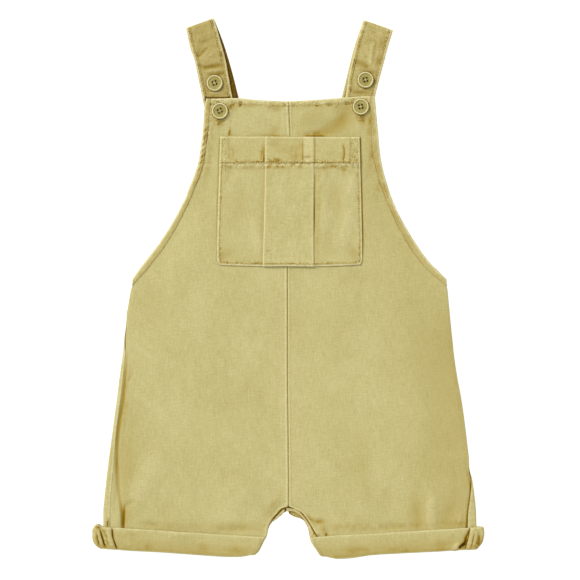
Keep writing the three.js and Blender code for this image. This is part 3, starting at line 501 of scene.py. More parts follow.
# ------------------------------------------------------------------ outlines
# each front from the bib's top to the hem: its edge at the centre, its outer edge, and the
# height of its middle surface at the centre, halfway and outside
FRONT_COLUMNS = "xin yin xout yout zin zmid zout"
FRONT = {
    "right": table(FRONT_COLUMNS, [
        (0.48, 187, -76.2, 189.2, 4.6, 5.3, 5.6),
        (0.86, 178.88, -77.62, 180.88, 4.6, 5.3, 5.6),
        (1.47, 165.57, -78.4, 165.57, 4.6, 5.3, 5.6),
        (2.04, 152.4, -79.81, 152.4, 4.5, 5.11, 5.31),
        (1.75, 136.67, -81.84, 136.67, 4.39, 4.89, 4.51),
        (1.48, 122.29, -84.44, 122.29, 4.3, 4.79, 3.57),
        (1.27, 110.79, -88.12, 110.79, 4.22, 4.64, 3.03),
        (1.07, 99.95, -92.68, 99.95, 4.2, 4.56, 2.77),
        (0.86, 88.8, -96.94, 88.8, 4.2, 4.5, 2.6),
        (0.63, 77.44, -102.4, 77.44, 4.2, 4.5, 2.6),
        (0.36, 65.09, -108.65, 65.09, 4.2, 4.5, 2.6),
        (0.1, 52.68, -115.74, 52.68, 4.2, 4.5, 2.6),
        (-0.16, 40.23, -123.69, 40.23, 4.2, 4.5, 2.6),
        (-0.42, 28.03, -132.93, 28.03, 4.2, 4.5, 2.6),
        (-0.54, 16.69, -141.94, 16.69, 4.2, 4.5, 2.6),
        (-0.52, 2.2, -155.48, 2.2, 4.2, 4.58, 2.36),
        (-0.52, 0.6, -156.41, 0.6, 4.2, 4.6, 2.32),
        (-0.49, -17, -159.8, -17, 4.2, 4.6, 2.36),
        (-0.47, -30, -161.6, -30, 4.2, 4.6, 2.4),
        (-0.45, -42, -160.5, -42, 4.2, 4.6, 2.87),
        (-0.43, -54, -161.5, -54, 4.2, 4.6, 3.33),
        (-0.41, -66, -162, -66, 4.2, 4.6, 3.8),
        (-0.37, -90, -164.3, -88, 4.2, 4.6, 3.8),
        (-0.22, -116, -167.1, -112, 4.2, 4.6, 3.8),
        (0.08, -142, -170.5, -136, 4.2, 4.6, 3.8),
        (0.37, -168, -172.7, -160, 4.2, 4.6, 3.8),
        (0.64, -194, -174.5, -184, 4.11, 4.6, 3.8),
        (0.54, -212, -176.1, -200, 4, 4.6, 3.8),
        (0.51, -218, -176.7, -206, 3.66, 4.6, 3.8),
        (-5, -220.6, -177.03, -212.53, 3.3, 4.6, 3.8),
        (-10.2, -226, -177.28, -217.53, 3.3, 4.6, 3.8),
        (-16.6, -233, -177.48, -223.53, 3.6, 4.6, 3.8),
        (-19.2, -238.4, -177.44, -228.03, 3.9, 4.6, 4),
        (-20.2, -243.1, -177.39, -232.53, 4.3, 4.6, 4.4),
        (-21.2, -247.8, -177.34, -237.33, 4.6, 4.6, 4.6),
        (-23.6, -252.4, -177.29, -242.03, 4.6, 4.6, 4.6),
        (-26.8, -256.8, -177.24, -246.53, 4.6, 4.6, 4.6),
    ]),
    "left": table(FRONT_COLUMNS, [
        (0.78, 187, 81.4, 191.8, 4.6, 5.3, 5.6),
        (1.08, 180.54, 82, 182.54, 4.6, 5.3, 5.6),
        (1.77, 165.5, 83, 165.5, 4.6, 5.3, 5.6),
        (2.32, 151.35, 82.81, 151.35, 4.5, 5.09, 5.27),
        (2.08, 138.14, 83.93, 138.14, 4.4, 4.9, 4.61),
        (1.85, 125.77, 85.89, 125.77, 4.32, 4.82, 3.78),
        (1.64, 114.33, 88.79, 114.33, 4.24, 4.68, 3.2),
        (1.41, 102.09, 92.67, 102.09, 4.2, 4.57, 2.8),
        (1.17, 88.93, 97.35, 88.93, 4.2, 4.5, 2.6),
        (0.93, 77.59, 102.3, 77.59, 4.2, 4.5, 2.6),
        (0.66, 65.08, 108.01, 65.08, 4.2, 4.5, 2.6),
        (0.4, 52.52, 114.54, 52.52, 4.2, 4.5, 2.6),
        (0.14, 40.15, 121.93, 40.15, 4.2, 4.5, 2.6),
        (-0.13, 27.81, 130.83, 27.81, 4.2, 4.5, 2.6),
        (-0.24, 15.43, 141.82, 15.43, 4.2, 4.5, 2.6),
        (-0.22, 2, 158.58, 2, 4.2, 4.58, 2.35),
        (-0.22, 0.6, 159.18, 0.6, 4.2, 4.6, 2.32),
        (-0.19, -17, 161.1, -17, 4.2, 4.6, 2.36),
        (-0.17, -30, 162.3, -30, 4.2, 4.6, 2.4),
        (-0.14, -48, 164.15, -48, 4.2, 4.6, 2.4),
        (-0.11, -66, 166, -66, 4.2, 4.6, 2.4),
        (-0.07, -90, 169.2, -88, 4.2, 4.6, 2.45),
        (0.08, -116, 173.6, -112, 4.2, 4.6, 2.5),
        (0.38, -142, 177, -136, 4.2, 4.6, 2.55),
        (0.67, -168, 179.8, -160, 4.2, 4.6, 2.6),
        (0.86, -184, 181, -172, 4.18, 4.6, 3.8),
        (0.92, -198, 179.9, -184, 4.09, 4.6, 3.8),
        (0.86, -209, 182.1, -194, 4.02, 4.6, 3.8),
        (0.81, -218, 182.7, -204, 3.66, 4.6, 3.8),
        (6, -220.7, 181.77, -211.72, 3.3, 4.6, 3.8),
        (12.9, -224.7, 181.11, -216.72, 3.3, 4.6, 3.8),
        (19.3, -232.1, 180.26, -222.72, 3.6, 4.6, 3.8),
        (23.2, -238.2, 179.67, -227.72, 3.9, 4.6, 4),
        (26, -243, 179.3, -232.72, 4.3, 4.6, 4.4),
        (28.6, -247.4, 178.94, -237.52, 4.6, 4.6, 4.6),
        (30.4, -252, 178.63, -242.22, 4.6, 4.6, 4.6),
        (32, -256.4, 178.34, -246.72, 4.6, 4.6, 4.6),
    ]),
}
# armhole: outer edge, and the line of stitching inside it
ARMHOLE_COLUMNS = "x y ix iy"
ARMHOLE = {
    "right": table(ARMHOLE_COLUMNS, [
        (-81.7, 189.2, -76.62, 189.2),
        (-83.4, 181.5, -78.04, 180.88),
        (-84.4, 166, -78.82, 165.57),
        (-85.6, 153, -80.23, 152.4),
        (-87.6, 137.5, -82.26, 136.67),
        (-90.2, 123.6, -84.86, 122.29),
        (-93.7, 112.7, -88.54, 110.79),
        (-98.2, 102, -93.1, 99.95),
        (-102.4, 91, -97.36, 88.8),
        (-107.8, 80, -102.82, 77.44),
        (-114.2, 68, -109.07, 65.09),
        (-121.4, 56, -116.16, 52.68),
        (-129.4, 44, -124.11, 40.23),
        (-138.5, 32, -133.35, 28.03),
        (-147.5, 20.5, -142.36, 16.69),
        (-155.3, 9.3, -155.9, 2.2),
    ]),
    "left": table(ARMHOLE_COLUMNS, [
        (86.6, 191.8, 81.82, 191.8),
        (87.4, 183, 82.42, 182.54),
        (89, 166, 83.42, 165.5),
        (90.2, 152, 83.23, 151.35),
        (91.5, 139, 84.35, 138.14),
        (93.2, 127, 86.31, 125.77),
        (95.6, 116, 89.21, 114.33),
        (99.2, 104, 93.09, 102.09),
        (103.4, 91, 97.77, 88.93),
        (108, 80, 102.72, 77.59),
        (113.9, 68, 108.43, 65.08),
        (120.8, 56, 114.96, 52.52),
        (128.2, 44, 122.35, 40.15),
        (136.6, 32, 131.25, 27.81),
        (147, 20, 142.24, 15.43),
        (158.4, 9.3, 159, 2),
    ]),
}
UNDERARM_Y = {"right": 2.2, "left": 2.0}
# each back: its edge at the centre, the side of the leg, its height, the front's height there,
# how far it turns up round the side in degrees and how far it laps on to the front
BACK_COLUMNS = "xin yin edge yout zback zfront turn lap"
BACK = {
    "right": table(BACK_COLUMNS, [
        (0.35, 138, -86.54, 138, 0.6, 4.58, 0, 0),
        (0.35, 120, -90.36, 120, 0.6, 3.46, 0, 0),
        (0.35, 100, -97.96, 100, 0.6, 2.77, 0, 0),
        (0.35, 80, -106.8, 80, 0.6, 2.6, 0, 0),
        (0.35, 60, -118, 60, 0.6, 2.6, 0, 0),
        (0.35, 42, -129.92, 42, 0.6, 2.6, 0, 0),
        (0.35, 26, -142.2, 26, 0.6, 2.6, 0, 0),
        (0.35, 12, -152.42, 12, 0.6, 2.52, 0, 0),
        (0.35, -17, -159.8, -17, 0.6, 2.36, 0, 0),
        (0.35, -30, -161.6, -30, 0.6, 2.4, 0, 0),
        (0.35, -42, -163, -42, 0.6, 2.87, 50, 0),
        (0.35, -54, -164, -54, 0.6, 3.33, 110, 0),
        (0.35, -66, -165.2, -66, 0.6, 3.8, 180, 0.7),
        (0.35, -90, -168.4, -88, 0.6, 3.8, 180, 1.6),
        (0.35, -116, -171.4, -112, 0.6, 3.8, 180, 1.8),
        (0.35, -142, -174.6, -136, 0.6, 3.8, 180, 1.6),
        (0.35, -168, -177.8, -160, 0.6, 3.8, 180, 2.6),
        (0.35, -194, -180.9, -184, 0.6, 3.8, 180, 3.9),
        (0.35, -212, -182.72, -200, 0.6, 3.8, 180, 4.12),
        (0.35, -218, -183.4, -206, 0.6, 3.8, 180, 4.2),
        (0.35, -222.6, -183.68, -209, 0.6, 3.8, 180, 4.33),
        (-3.8, -224.2, -184.01, -212.53, 0.6, 3.8, 180, 4.49),
        (-7, -227.8, -184.48, -217.53, 0.6, 3.8, 180, 4.7),
        (-15, -233.4, -184.89, -223.53, 0.6, 3.8, 180, 4.9),
        (-18.8, -238.4, -184.85, -228.03, 1.2, 4, 180, 4.92),
        (-20.2, -243.1, -184.82, -232.53, 2, 4.4, 180, 4.93),
        (-21.4, -247.8, -184.78, -237.33, 2.5, 4.6, 180, 4.94),
        (-23.8, -252.4, -184.74, -242.03, 2.5, 4.6, 180, 4.95),
        (-26.8, -256.8, -184.71, -246.53, 2.5, 4.6, 180, 4.96),
    ]),
    "left": table(BACK_COLUMNS, [
        (0.65, 138, 90.64, 138, 0.6, 4.6, 0, 0),
        (0.65, 120, 93.73, 120, 0.6, 3.49, 0, 0),
        (0.65, 100, 99.49, 100, 0.6, 2.77, 0, 0),
        (0.65, 80, 107, 80, 0.6, 2.6, 0, 0),
        (0.65, 60, 117.5, 60, 0.6, 2.6, 0, 0),
        (0.65, 42, 128.6, 42, 0.6, 2.6, 0, 0),
        (0.65, 26, 140.8, 26, 0.6, 2.6, 0, 0),
        (0.65, 12, 154.52, 12, 0.6, 2.54, 0, 0),
        (0.65, -17, 161.1, -17, 0.6, 2.36, 0, 0),
        (0.65, -30, 162.3, -30, 0.6, 2.4, 0, 0),
        (0.65, -48, 164.15, -48, 0.6, 2.4, 0, 0),
        (0.65, -66, 166, -66, 0.6, 2.4, 0, 0),
        (0.65, -90, 169.2, -88, 0.6, 2.45, 0, 0),
        (0.65, -116, 173.6, -112, 0.6, 2.5, 0, 0),
        (0.65, -142, 177, -136, 0.6, 2.55, 0, 0),
        (0.65, -168, 179.8, -160, 0.6, 2.6, 0, 0),
        (0.65, -184, 181, -172, 0.6, 3.8, 0, 0),
        (0.65, -198, 182.4, -184, 0.6, 3.8, 60, 0),
        (0.65, -209, 184.6, -194, 0.6, 3.8, 120, 0),
        (0.65, -218, 186.2, -204, 0.6, 3.8, 180, 1),
        (0.65, -222, 186.56, -207, 0.6, 3.8, 180, 1.72),
        (0.6, -224.6, 187.13, -211.72, 0.6, 3.8, 180, 2.85),
        (5, -228.4, 187.6, -216.72, 0.6, 3.8, 180, 3.99),
        (14.4, -231.6, 188.05, -222.72, 0.6, 3.8, 180, 5.29),
        (19.4, -237.6, 188.31, -227.72, 1.2, 4, 180, 6.14),
        (20.6, -243, 188.36, -232.72, 2, 4.4, 180, 6.56),
        (21.6, -247.8, 188.4, -237.52, 2.5, 4.6, 180, 6.96),
        (26.4, -252.3, 188.13, -242.22, 2.5, 4.6, 180, 7),
        (29.2, -256.6, 187.84, -246.72, 2.5, 4.6, 180, 7),
    ]),
}
# the bib's top edge bows: share of the way out, and height over a straight line
TOP_BOW = {
    "right": table("t up", [(0, -0.3), (0.2, -0.3), (0.4, 0.1), (0.65, 1.3), (0.85, 0.6), (1, 0)]),
    "left": table("t up", [(0, -0.3), (0.25, -0.5), (0.5, -0.3), (0.66, 0.1), (0.85, 0.2), (1, 0)]),
}

# each button: where it is sewn, how it is turned, and the height of its back if not the bib's
BUTTONS = {
    "button_upper_right": (-73.4, 204.8, 20.0, STRAP_FRONT + STRAP / 2 + GAP),
    "button_lower_right": (-68.0, 176.8, 25.0, None),
    "button_upper_left": (77.4, 208.0, 15.0, STRAP_FRONT + STRAP / 2 + GAP),
    "button_lower_left": (72.6, 181.0, 10.0, None),
}

# ------------------------------------------------------------------ creases
FOLDS = {
    "right": [
        # the bib
        (-60, 167, 88, 34, 2.6, 0.35, 0), (-55, 172, 84, 20, 2.6, -0.3, 0), (-58.6, 155, 80, 9, 0.9, -0.45, 0),
        (-18, 160, -40, 30, 5.0, -0.42, 2), (-12, 154, 5, 22, 3.0, -0.35, 0), (-34, 172, 80, 34, 7, 0.22, 0),
        (-4, 164, 88, 44, 3.0, 0.18, 0), (-72, 158, 80, 40, 3.5, 0.25, 2), (-74, 130, 76, 50, 5, 0.2, 3),
        # beside the pocket and across the body
        (-84, 92, 74, 60, 8, -0.22, 4), (-110, 40, 52, 70, 9, 0.2, -4), (-60, -6, 84, 90, 14, 0.2, 5),
        (-124, -20, 80, 90, 12, -0.22, 4), (-30, -70, 92, 120, 12, -0.18, 4), (-96, -110, 86, 120, 16, 0.22, -5),
        # the leg
        (-143, -190, 64, 96, 12, 1.0, 6), (-122, -220, 58, 44, 8, -0.5, 0), (-78, -212, 96, 60, 12, -0.4, 3),
        (-46, -206, 78, 50, 9, 0.5, 0), (-164.6, -228, 87, 34, 2.4, -0.7, 0.6), (-158, -216, 38, 18, 2.6, -0.8, 0),
        (-171.5, -206, 84, 44, 3.2, -0.7, 1), (-166, -170, 84, 70, 5, -0.5, 0), (-100, -244.5, -3, 120, 2.6, -0.3, 0),
        (-158, -91, 52, 14, 1.5, -0.7, 0), (-150, -128, 78, 40, 6, -0.2, 2), (-137, -237, -4, 26, 3.0, -0.9, 0),
        (-54, -241, 2, 44, 4.2, -0.8, 0), (-98, -240, -2, 40, 3.8, -0.45, 0), (-9.5, -220, 52, 26, 2.6, -0.8, 0),
        (-14, -206, 66, 26, 4, -0.3, 2), (-30, -226, 50, 30, 5, 0.3, 0),
    ],
    "left": [
        # the bib: a deep soft fold from the lower button down to the pocket's mouth
        (58, 174, 80, 30, 6.0, -0.8, 0), (42, 160, 30, 52, 7.0, -0.95, 3), (24, 152.5, 6, 30, 2.8, -1.0, 0),
        (70, 156, 86, 40, 4.2, 0.6, 0), (24, 168, 24, 34, 6, 0.35, 0), (50, 178.5, 60, 8, 0.9, 0.35, 0), (46, 181, 70, 7, 0.9, 0.3, 0),
        (26, 172, 80, 24, 6, 0.2, 0), (36, 149, 20, 20, 2.2, 0.25, 0), (80, 140, 84, 50, 3.5, 0.2, -2),
        # beside the pocket and across the body
        (84, 92, 102, 60, 7, 0.2, -3), (112, 40, 130, 70, 10, -0.2, 4), (60, -8, 92, 90, 13, 0.18, -4),
        (126, -30, 98, 90, 12, 0.2, 4), (26, -60, 88, 110, 10, -0.22, 3), (92, -104, 94, 130, 16, -0.18, 5),
        (46, -140, 90, 110, 13, 0.2, 4), (146, -120, 96, 90, 12, -0.2, 3),
        # the leg
        (129, -226, 94, 50, 7.0, -0.75, 0), (143, -224, 88, 56, 5.5, 1.1, 0), (160, -226, 68, 34, 6.0, -0.55, 0),
        (161, -238, 4, 26, 2.8, -0.35, 0), (171.5, -231, 70, 16, 2.0, 0.6, 0), (176, -236, 80, 12, 2.2, -0.6, 0), (72, -212, 90, 60, 9, 0.6, 0),
        (102, -238, 5, 24, 3.4, -0.8, 0), (100, -214, 96, 46, 9, -0.5, 0), (23, -231.5, -27, 14, 2.0, -0.6, 0), (96, -241, 4, 120, 2.8, -0.35, 0),
        (31.5, -233.8, 4, 16, 2.4, -0.5, -1), (37.2, -245, 80, 8, 1.2, -0.6, 0), (34, -240, -66, 16, 3, 0.35, 0),
        (14, -206, 108, 30, 5, 0.25, 0), (23, -231, -40, 16, 2.0, -0.2, 0), (168, -190, 94, 60, 3.0, -0.3, 0),
    ],
}
# where the cloth is darker, from dye and from painted shade such as the shadow above the turn-ups and the shade of the
# bib's sag: x, y, angle, length, width, how much
STAINS_AND_SHADE = {
    "right": [
        (-80, 176, 84, 22, 5, 0.5), (-70, 166, 88, 12, 9, 0.6), (-72, 188, 88, 6, 5, 0.6), (-57, 183, 70, 9, 6, 0.6), (-48, 185, 60, 7, 6, 0.5), (-55, 181.5, 0, 14, 8, 0.4), (-36, 184, 0, 22, 6, 0.5), (-12, 182, 4, 18, 12, 0.55),
        (-13, 158, 60, 22, 12, 0.3), (-58, 156, 90, 10, 4, 0.4), (-76, 150, 84, 40, 5, 0.35), (-80, 120, 78, 40, 5, 0.3), (-60, 153, 0, 20, 4, 0.25),
        (-20, 153, 0, 30, 4, 0.3), (-160, -176, 86, 90, 16, 0.26), (-160, -228, 84, 34, 12, 0.2), (-120, -238, -3, 90, 12, 0.24), (-56, -239, -3, 70, 12, 0.34),
        (-14, -216, 54, 28, 6, 0.35), (-162, -112, 84, 90, 6, 0.35), (-96, -246, -3, 150, 5, 0.25), (-20, -232, 50, 26, 8, 0.25),
    ],
    "left": [
        (8, 183, 0, 14, 9, 0.3), (30, 183.5, 0, 40, 5, 0.35), (55, 170, 64, 36, 19, 0.33), (44, 160, 30, 44, 17, 0.36), (26, 154, 3, 38, 8, 0.42),
        (74, 169, 86, 12, 9, 0.6), (86, 184, 86, 16, 5, 0.4), (66, 189, 30, 8, 4, 0.4), (82, 166, 86, 46, 6, 0.5), (84, 134, 84, 40, 7, 0.45), (92, 108, 76, 40, 7, 0.35), (48, 181, 60, 8, 6, 0.4),
        (20, 168, 20, 36, 16, 0.3), (128, -224, 92, 44, 22, 0.22), (160, -224, 74, 38, 20, 0.14), (104, -239, 4, 130, 9, 0.3), (172, -236, 0, 22, 9, 0.25),
        (30, -233, 0, 18, 6, 0.4), (36, -243, 80, 12, 8, 0.4), (60, -238, 4, 60, 9, 0.3), (74, -180, 94, 80, 18, 0.15),
    ],
}
# where dye and painted shade lie in a line, such as the shadow above the pocket's mouth and dark spots in the crotch's
# gaps: x, y, angle, length, width, how much, bow
DYE_AND_SHADE_LINES = {
    "right": [
        (-163.9, -229, 88.5, 36, 0.9, 0.8, 0.3), (-13, 151.8, 0, 30, 0.9, 0.3, 0), (-58.6, 155, 80, 10, 0.6, 0.45, 0), (-57.2, 180.5, 78, 8, 0.8, 0.5, 0), (-48, 182.6, 60, 7, 0.8, 0.45, 0),
        (-3.0, 184.5, 84, 8, 1.0, 0.5, 0), (-79, 183, 50, 6, 0.7, 0.5, 0), (-72, 187.5, 84, 6, 0.7, 0.6, 0), (-66.5, 188, 74, 5, 0.6, 0.45, 0),
    ],
    "left": [
        (27, 151.7, 0.5, 30, 0.75, 0.95, 0), (22, -230.0, -42, 15, 1.4, 0.3, -1.0), (31, -234.0, 2, 18, 3.2, 0.22, -1.2), (38.2, -246.6, 82, 5, 0.7, 1.3, 0), (29.6, -247.4, 60, 4, 0.7, 1.2, 0),
        (66, 190.5, 40, 5, 0.8, 0.5, 0), (78.6, 189.4, 84, 6, 0.7, 0.5, 0), (16, 183, 84, 6, 0.8, 0.4, 0), (40, 183.6, 70, 6, 0.8, 0.4, 0),
    ],
}
# dark lines that zigzag where the cloth gathers below the lower buttons, dye and painted shade; x and y from the
# button's centre
BELOW_BUTTON = [(-3.4, -9.8, -62, 4.2, 0.55, 0.4, 0), (-0.6, -10.6, 66, 4.6, 0.55, 0.5, 0), (1.8, -10.4, -58, 4.6, 0.55, 0.45, 0), (4.2, -10.0, 60, 4.2, 0.55, 0.5, 0),
                (-1.2, -13.4, -20, 5.0, 0.6, 0.5, 0), (2.4, -13.8, 40, 4.4, 0.55, 0.45, 0)]
# darker patches on the straps: dye, and painted shadow at the strap's foot above the bib
STRAP_STAINS_AND_SHADE = {
    "right": [
        (-86, 244, 70, 30, 7, 0.35), (-92, 232, 76, 30, 5, 0.35), (-66, 232, 76, 40, 6, 0.35), (-80, 221, 10, 26, 6, 0.5), (-70, 214, 0, 20, 6, 0.4),
        (-84, 198, 80, 16, 8, 0.35), (-72, 193.5, 4, 30, 7, 0.4), (-60, 208, 70, 16, 5, 0.4), (-90, 256, 20, 16, 6, 0.25), (-75, 236, 40, 18, 6, 0.3),
    ],
    "left": [
        (76, 222, -8, 24, 8, 0.45), (92, 234, 78, 40, 6, 0.3), (66, 222, 74, 34, 4, 0.3), (72, 195.5, -2, 30, 6, 0.45), (88, 206, 78, 18, 6, 0.45),
        (96, 250, 74, 20, 6, 0.3), (80, 246, 20, 18, 7, 0.2), (64, 202, 76, 16, 5, 0.4), (84, 216, 60, 14, 5, 0.3),
    ],
}
# darker patches on the pocket: dye, and painted shade under the hem's edge
POCKET_STAINS_AND_SHADE = [
    (-13, 120.6, 0, 19, 3.2, 0.85), (38, 120.3, 3, 26, 2.4, 0.7), (56, 117, 84, 10, 3, 0.4), (-64, 33, 40, 22, 12, 0.35), (66, 34, -40, 20, 12, 0.35), (-12, 120.5, 0, 24, 3.5, 0.7), (52, 120, -20, 30, 5, 0.35), (-60, 116, 80, 20, 6, 0.3),
    (-44, 119.5, 0, 40, 3, 0.3), (30, 60, 88, 110, 5, 0.3), (-27, 70, 90, 100, 4, 0.2), (38, 118, 60, 10, 8, 0.25), (-20, 31, 84, 14, 6, 0.35), (0, 26, 0, 120, 3, 0.2),
]
# dark lines on the pocket's hem: dye, and painted shade in its creases
HEM_LINES = [
    (56.2, 135.2, -89, 25, 0.65, 0.88, -2.6), (-54.5, 133, 87, 13, 0.7, 0.3, 0), (-26.4, 133, 82, 20, 0.8, 0.42, 0.6), (-23.8, 129, 88, 12, 0.7, 0.36, 0), (8.0, 134, 88, 20, 0.7, 0.27, 0),
    (14.2, 138, 90, 27, 0.8, 0.36, 0), (20.5, 131.4, 0, 11, 0.6, 0.42, 0), (-65.5, 149.4, 10, 7, 0.6, 0.3, 0), (-63.5, 147.2, -30, 6, 0.6, 0.3, 0), (-64.5, 144.6, 20, 5, 0.6, 0.24, 0), (30.8, 137, 82, 18, 0.6, 0.18, 0),
]
# darker patches on the pocket's hem: dye and painted shade
HEM_STAINS_AND_SHADE = [
    (-26, 134, 86, 24, 5, 0.4), (-15, 144, 0, 13, 6, 0.45), (-13, 127.5, 0, 18, 5, 0.45), (64.5, 130, 80, 14, 5, 0.4),
    (10.5, 134, 88, 20, 5, 0.35), (5, 132, 0, 18, 12, 0.35), (54, 130, 84, 10, 5, 0.35), (64, 136, 80, 26, 9, 0.3), (20, 142, 0, 12, 3, 0.3),
    (-56, 136, 84, 22, 6, 0.4), (-65, 138, 88, 26, 5, 0.35), (20, 131.5, 0, 12, 5, 0.5), (-12, 128, 0, 16, 6, 0.5), (34, 127.5, 0, 22, 5, 0.35), (-40, 127, 0, 30, 3.5, 0.35),
    (-12, 148, 0, 20, 5, 0.25), (-6, 139, 0, 34, 14, 0.3), (4, 138, 80, 24, 8, 0.2),
]
# the hollow that runs down the front beside the right side seam: how far in, how deep, how wide
SIDE_HOLLOW = {
    "right": table("y d deep wide", [
        (-56, 1.0, 0.0, 1.2), (-70, 1.6, 0.5, 1.3), (-88, 1.9, 1.0, 1.6), (-112, 2.3, 1.2, 2.0), (-136, 2.0, 1.25, 2.0),
        (-152, 1.9, 1.2, 1.9), (-168, 2.6, 1.2, 1.8), (-182, 3.6, 1.3, 2.0), (-194, 5.6, 0.9, 1.8), (-208, 8.6, 0.8, 1.6), (-226, 11.8, 1.2, 1.7), (-240, 12.2, 1.3, 1.5)]),
    "left": table("y d deep wide", [
        (-100, 3.0, 0.0, 1.0), (-120, 3.2, 0.22, 0.9), (-160, 3.4, 0.25, 0.9), (-178, 2.5, 0.2, 1.0), (-186, 1.4, 0.55, 1.0),
        (-200, 0.9, 0.7, 0.8), (-226, 0.9, 0.75, 0.8), (-250, 0.9, 0.75, 0.8)]),
}
POCKET_BOX = (-71.0, 74.5, 21.5, 152.0)


def inside_box(x, y, box, soft):
    x0, x1, y0, y1 = box
    return (smooth((x - x0 + soft) / soft) * smooth((x1 + soft - x) / soft)
            * smooth((y - y0 + soft) / soft) * smooth((y1 + soft - y) / soft))


# ------------------------------------------------------------------ the fronts
HEAD = [0, 0.22, 0.5, 0.85, 1.25, 1.7, 2.25, 2.9, 3.7, 4.7, 5.7, 6.6, 7.4, 8.2, 9.2]
TAIL = [0, 0.25, 0.55, 0.9, 1.35, 1.9, 2.6, 3.4, 4.4, 5.6, 7.0, 8.6]


def lengths(t):
    a = np.hypot(np.diff(t["xin"]), np.diff(t["yin"]))
    b = np.hypot(np.diff(t["xout"] if "xout" in t else t["edge"]), np.diff(t["yout"]))
    return np.concatenate([[0], np.cumsum((a + b) / 2)])


def squareness(x, y, dx, dy):
    """How squarely rows along (dx, dy) meet an edge that runs through x, y."""
    tx, ty = np.gradient(x), np.gradient(y)
    n = np.hypot(tx, ty) * np.hypot(dx, dy)
    k = np.abs(tx * dy - ty * dx) / np.maximum(n, 1e-9)
    return np.convolve(np.pad(k, 3, mode="edge"), np.ones(7) / 7, mode="valid")


def profile(t, zin, zmid, zout):
    return zmid + (zin - zmid) * smooth((0.3 - t) / 0.3) + (zout - zmid) * smooth((t - 0.7) / 0.3)


def panel_height(x, y):
    """Middle surface of the fronts over a point of the bib, before creases."""
    x, y = np.broadcast_arrays(np.asarray(x, float), np.asarray(y, float))
    z = np.zeros(x.shape)
    for side in SIDES:
        t = FRONT[side]
        at = {k: line(t, "yin", y, k) for k in ("xin", "xout", "zin", "zmid", "zout")}
        share = np.clip((x - at["xin"]) / (at["xout"] - at["xin"]), 0, 1)
        here = profile(share, at["zin"], at["zmid"], at["zout"])
        z = np.where((x < line(FRONT["left"], "yin", y, "xin")) == (side == "right"), here, z)
    return z


def ruche(along, across, step, reach, seed):
    """Small gathers that run out from a line of stitches."""
    a = noise(along / step, 0.0, seed) + 0.6 * noise(along / (0.45 * step), across / (3 * reach), seed + 5)
    return a * bell(across, reach)


PATHS = {}


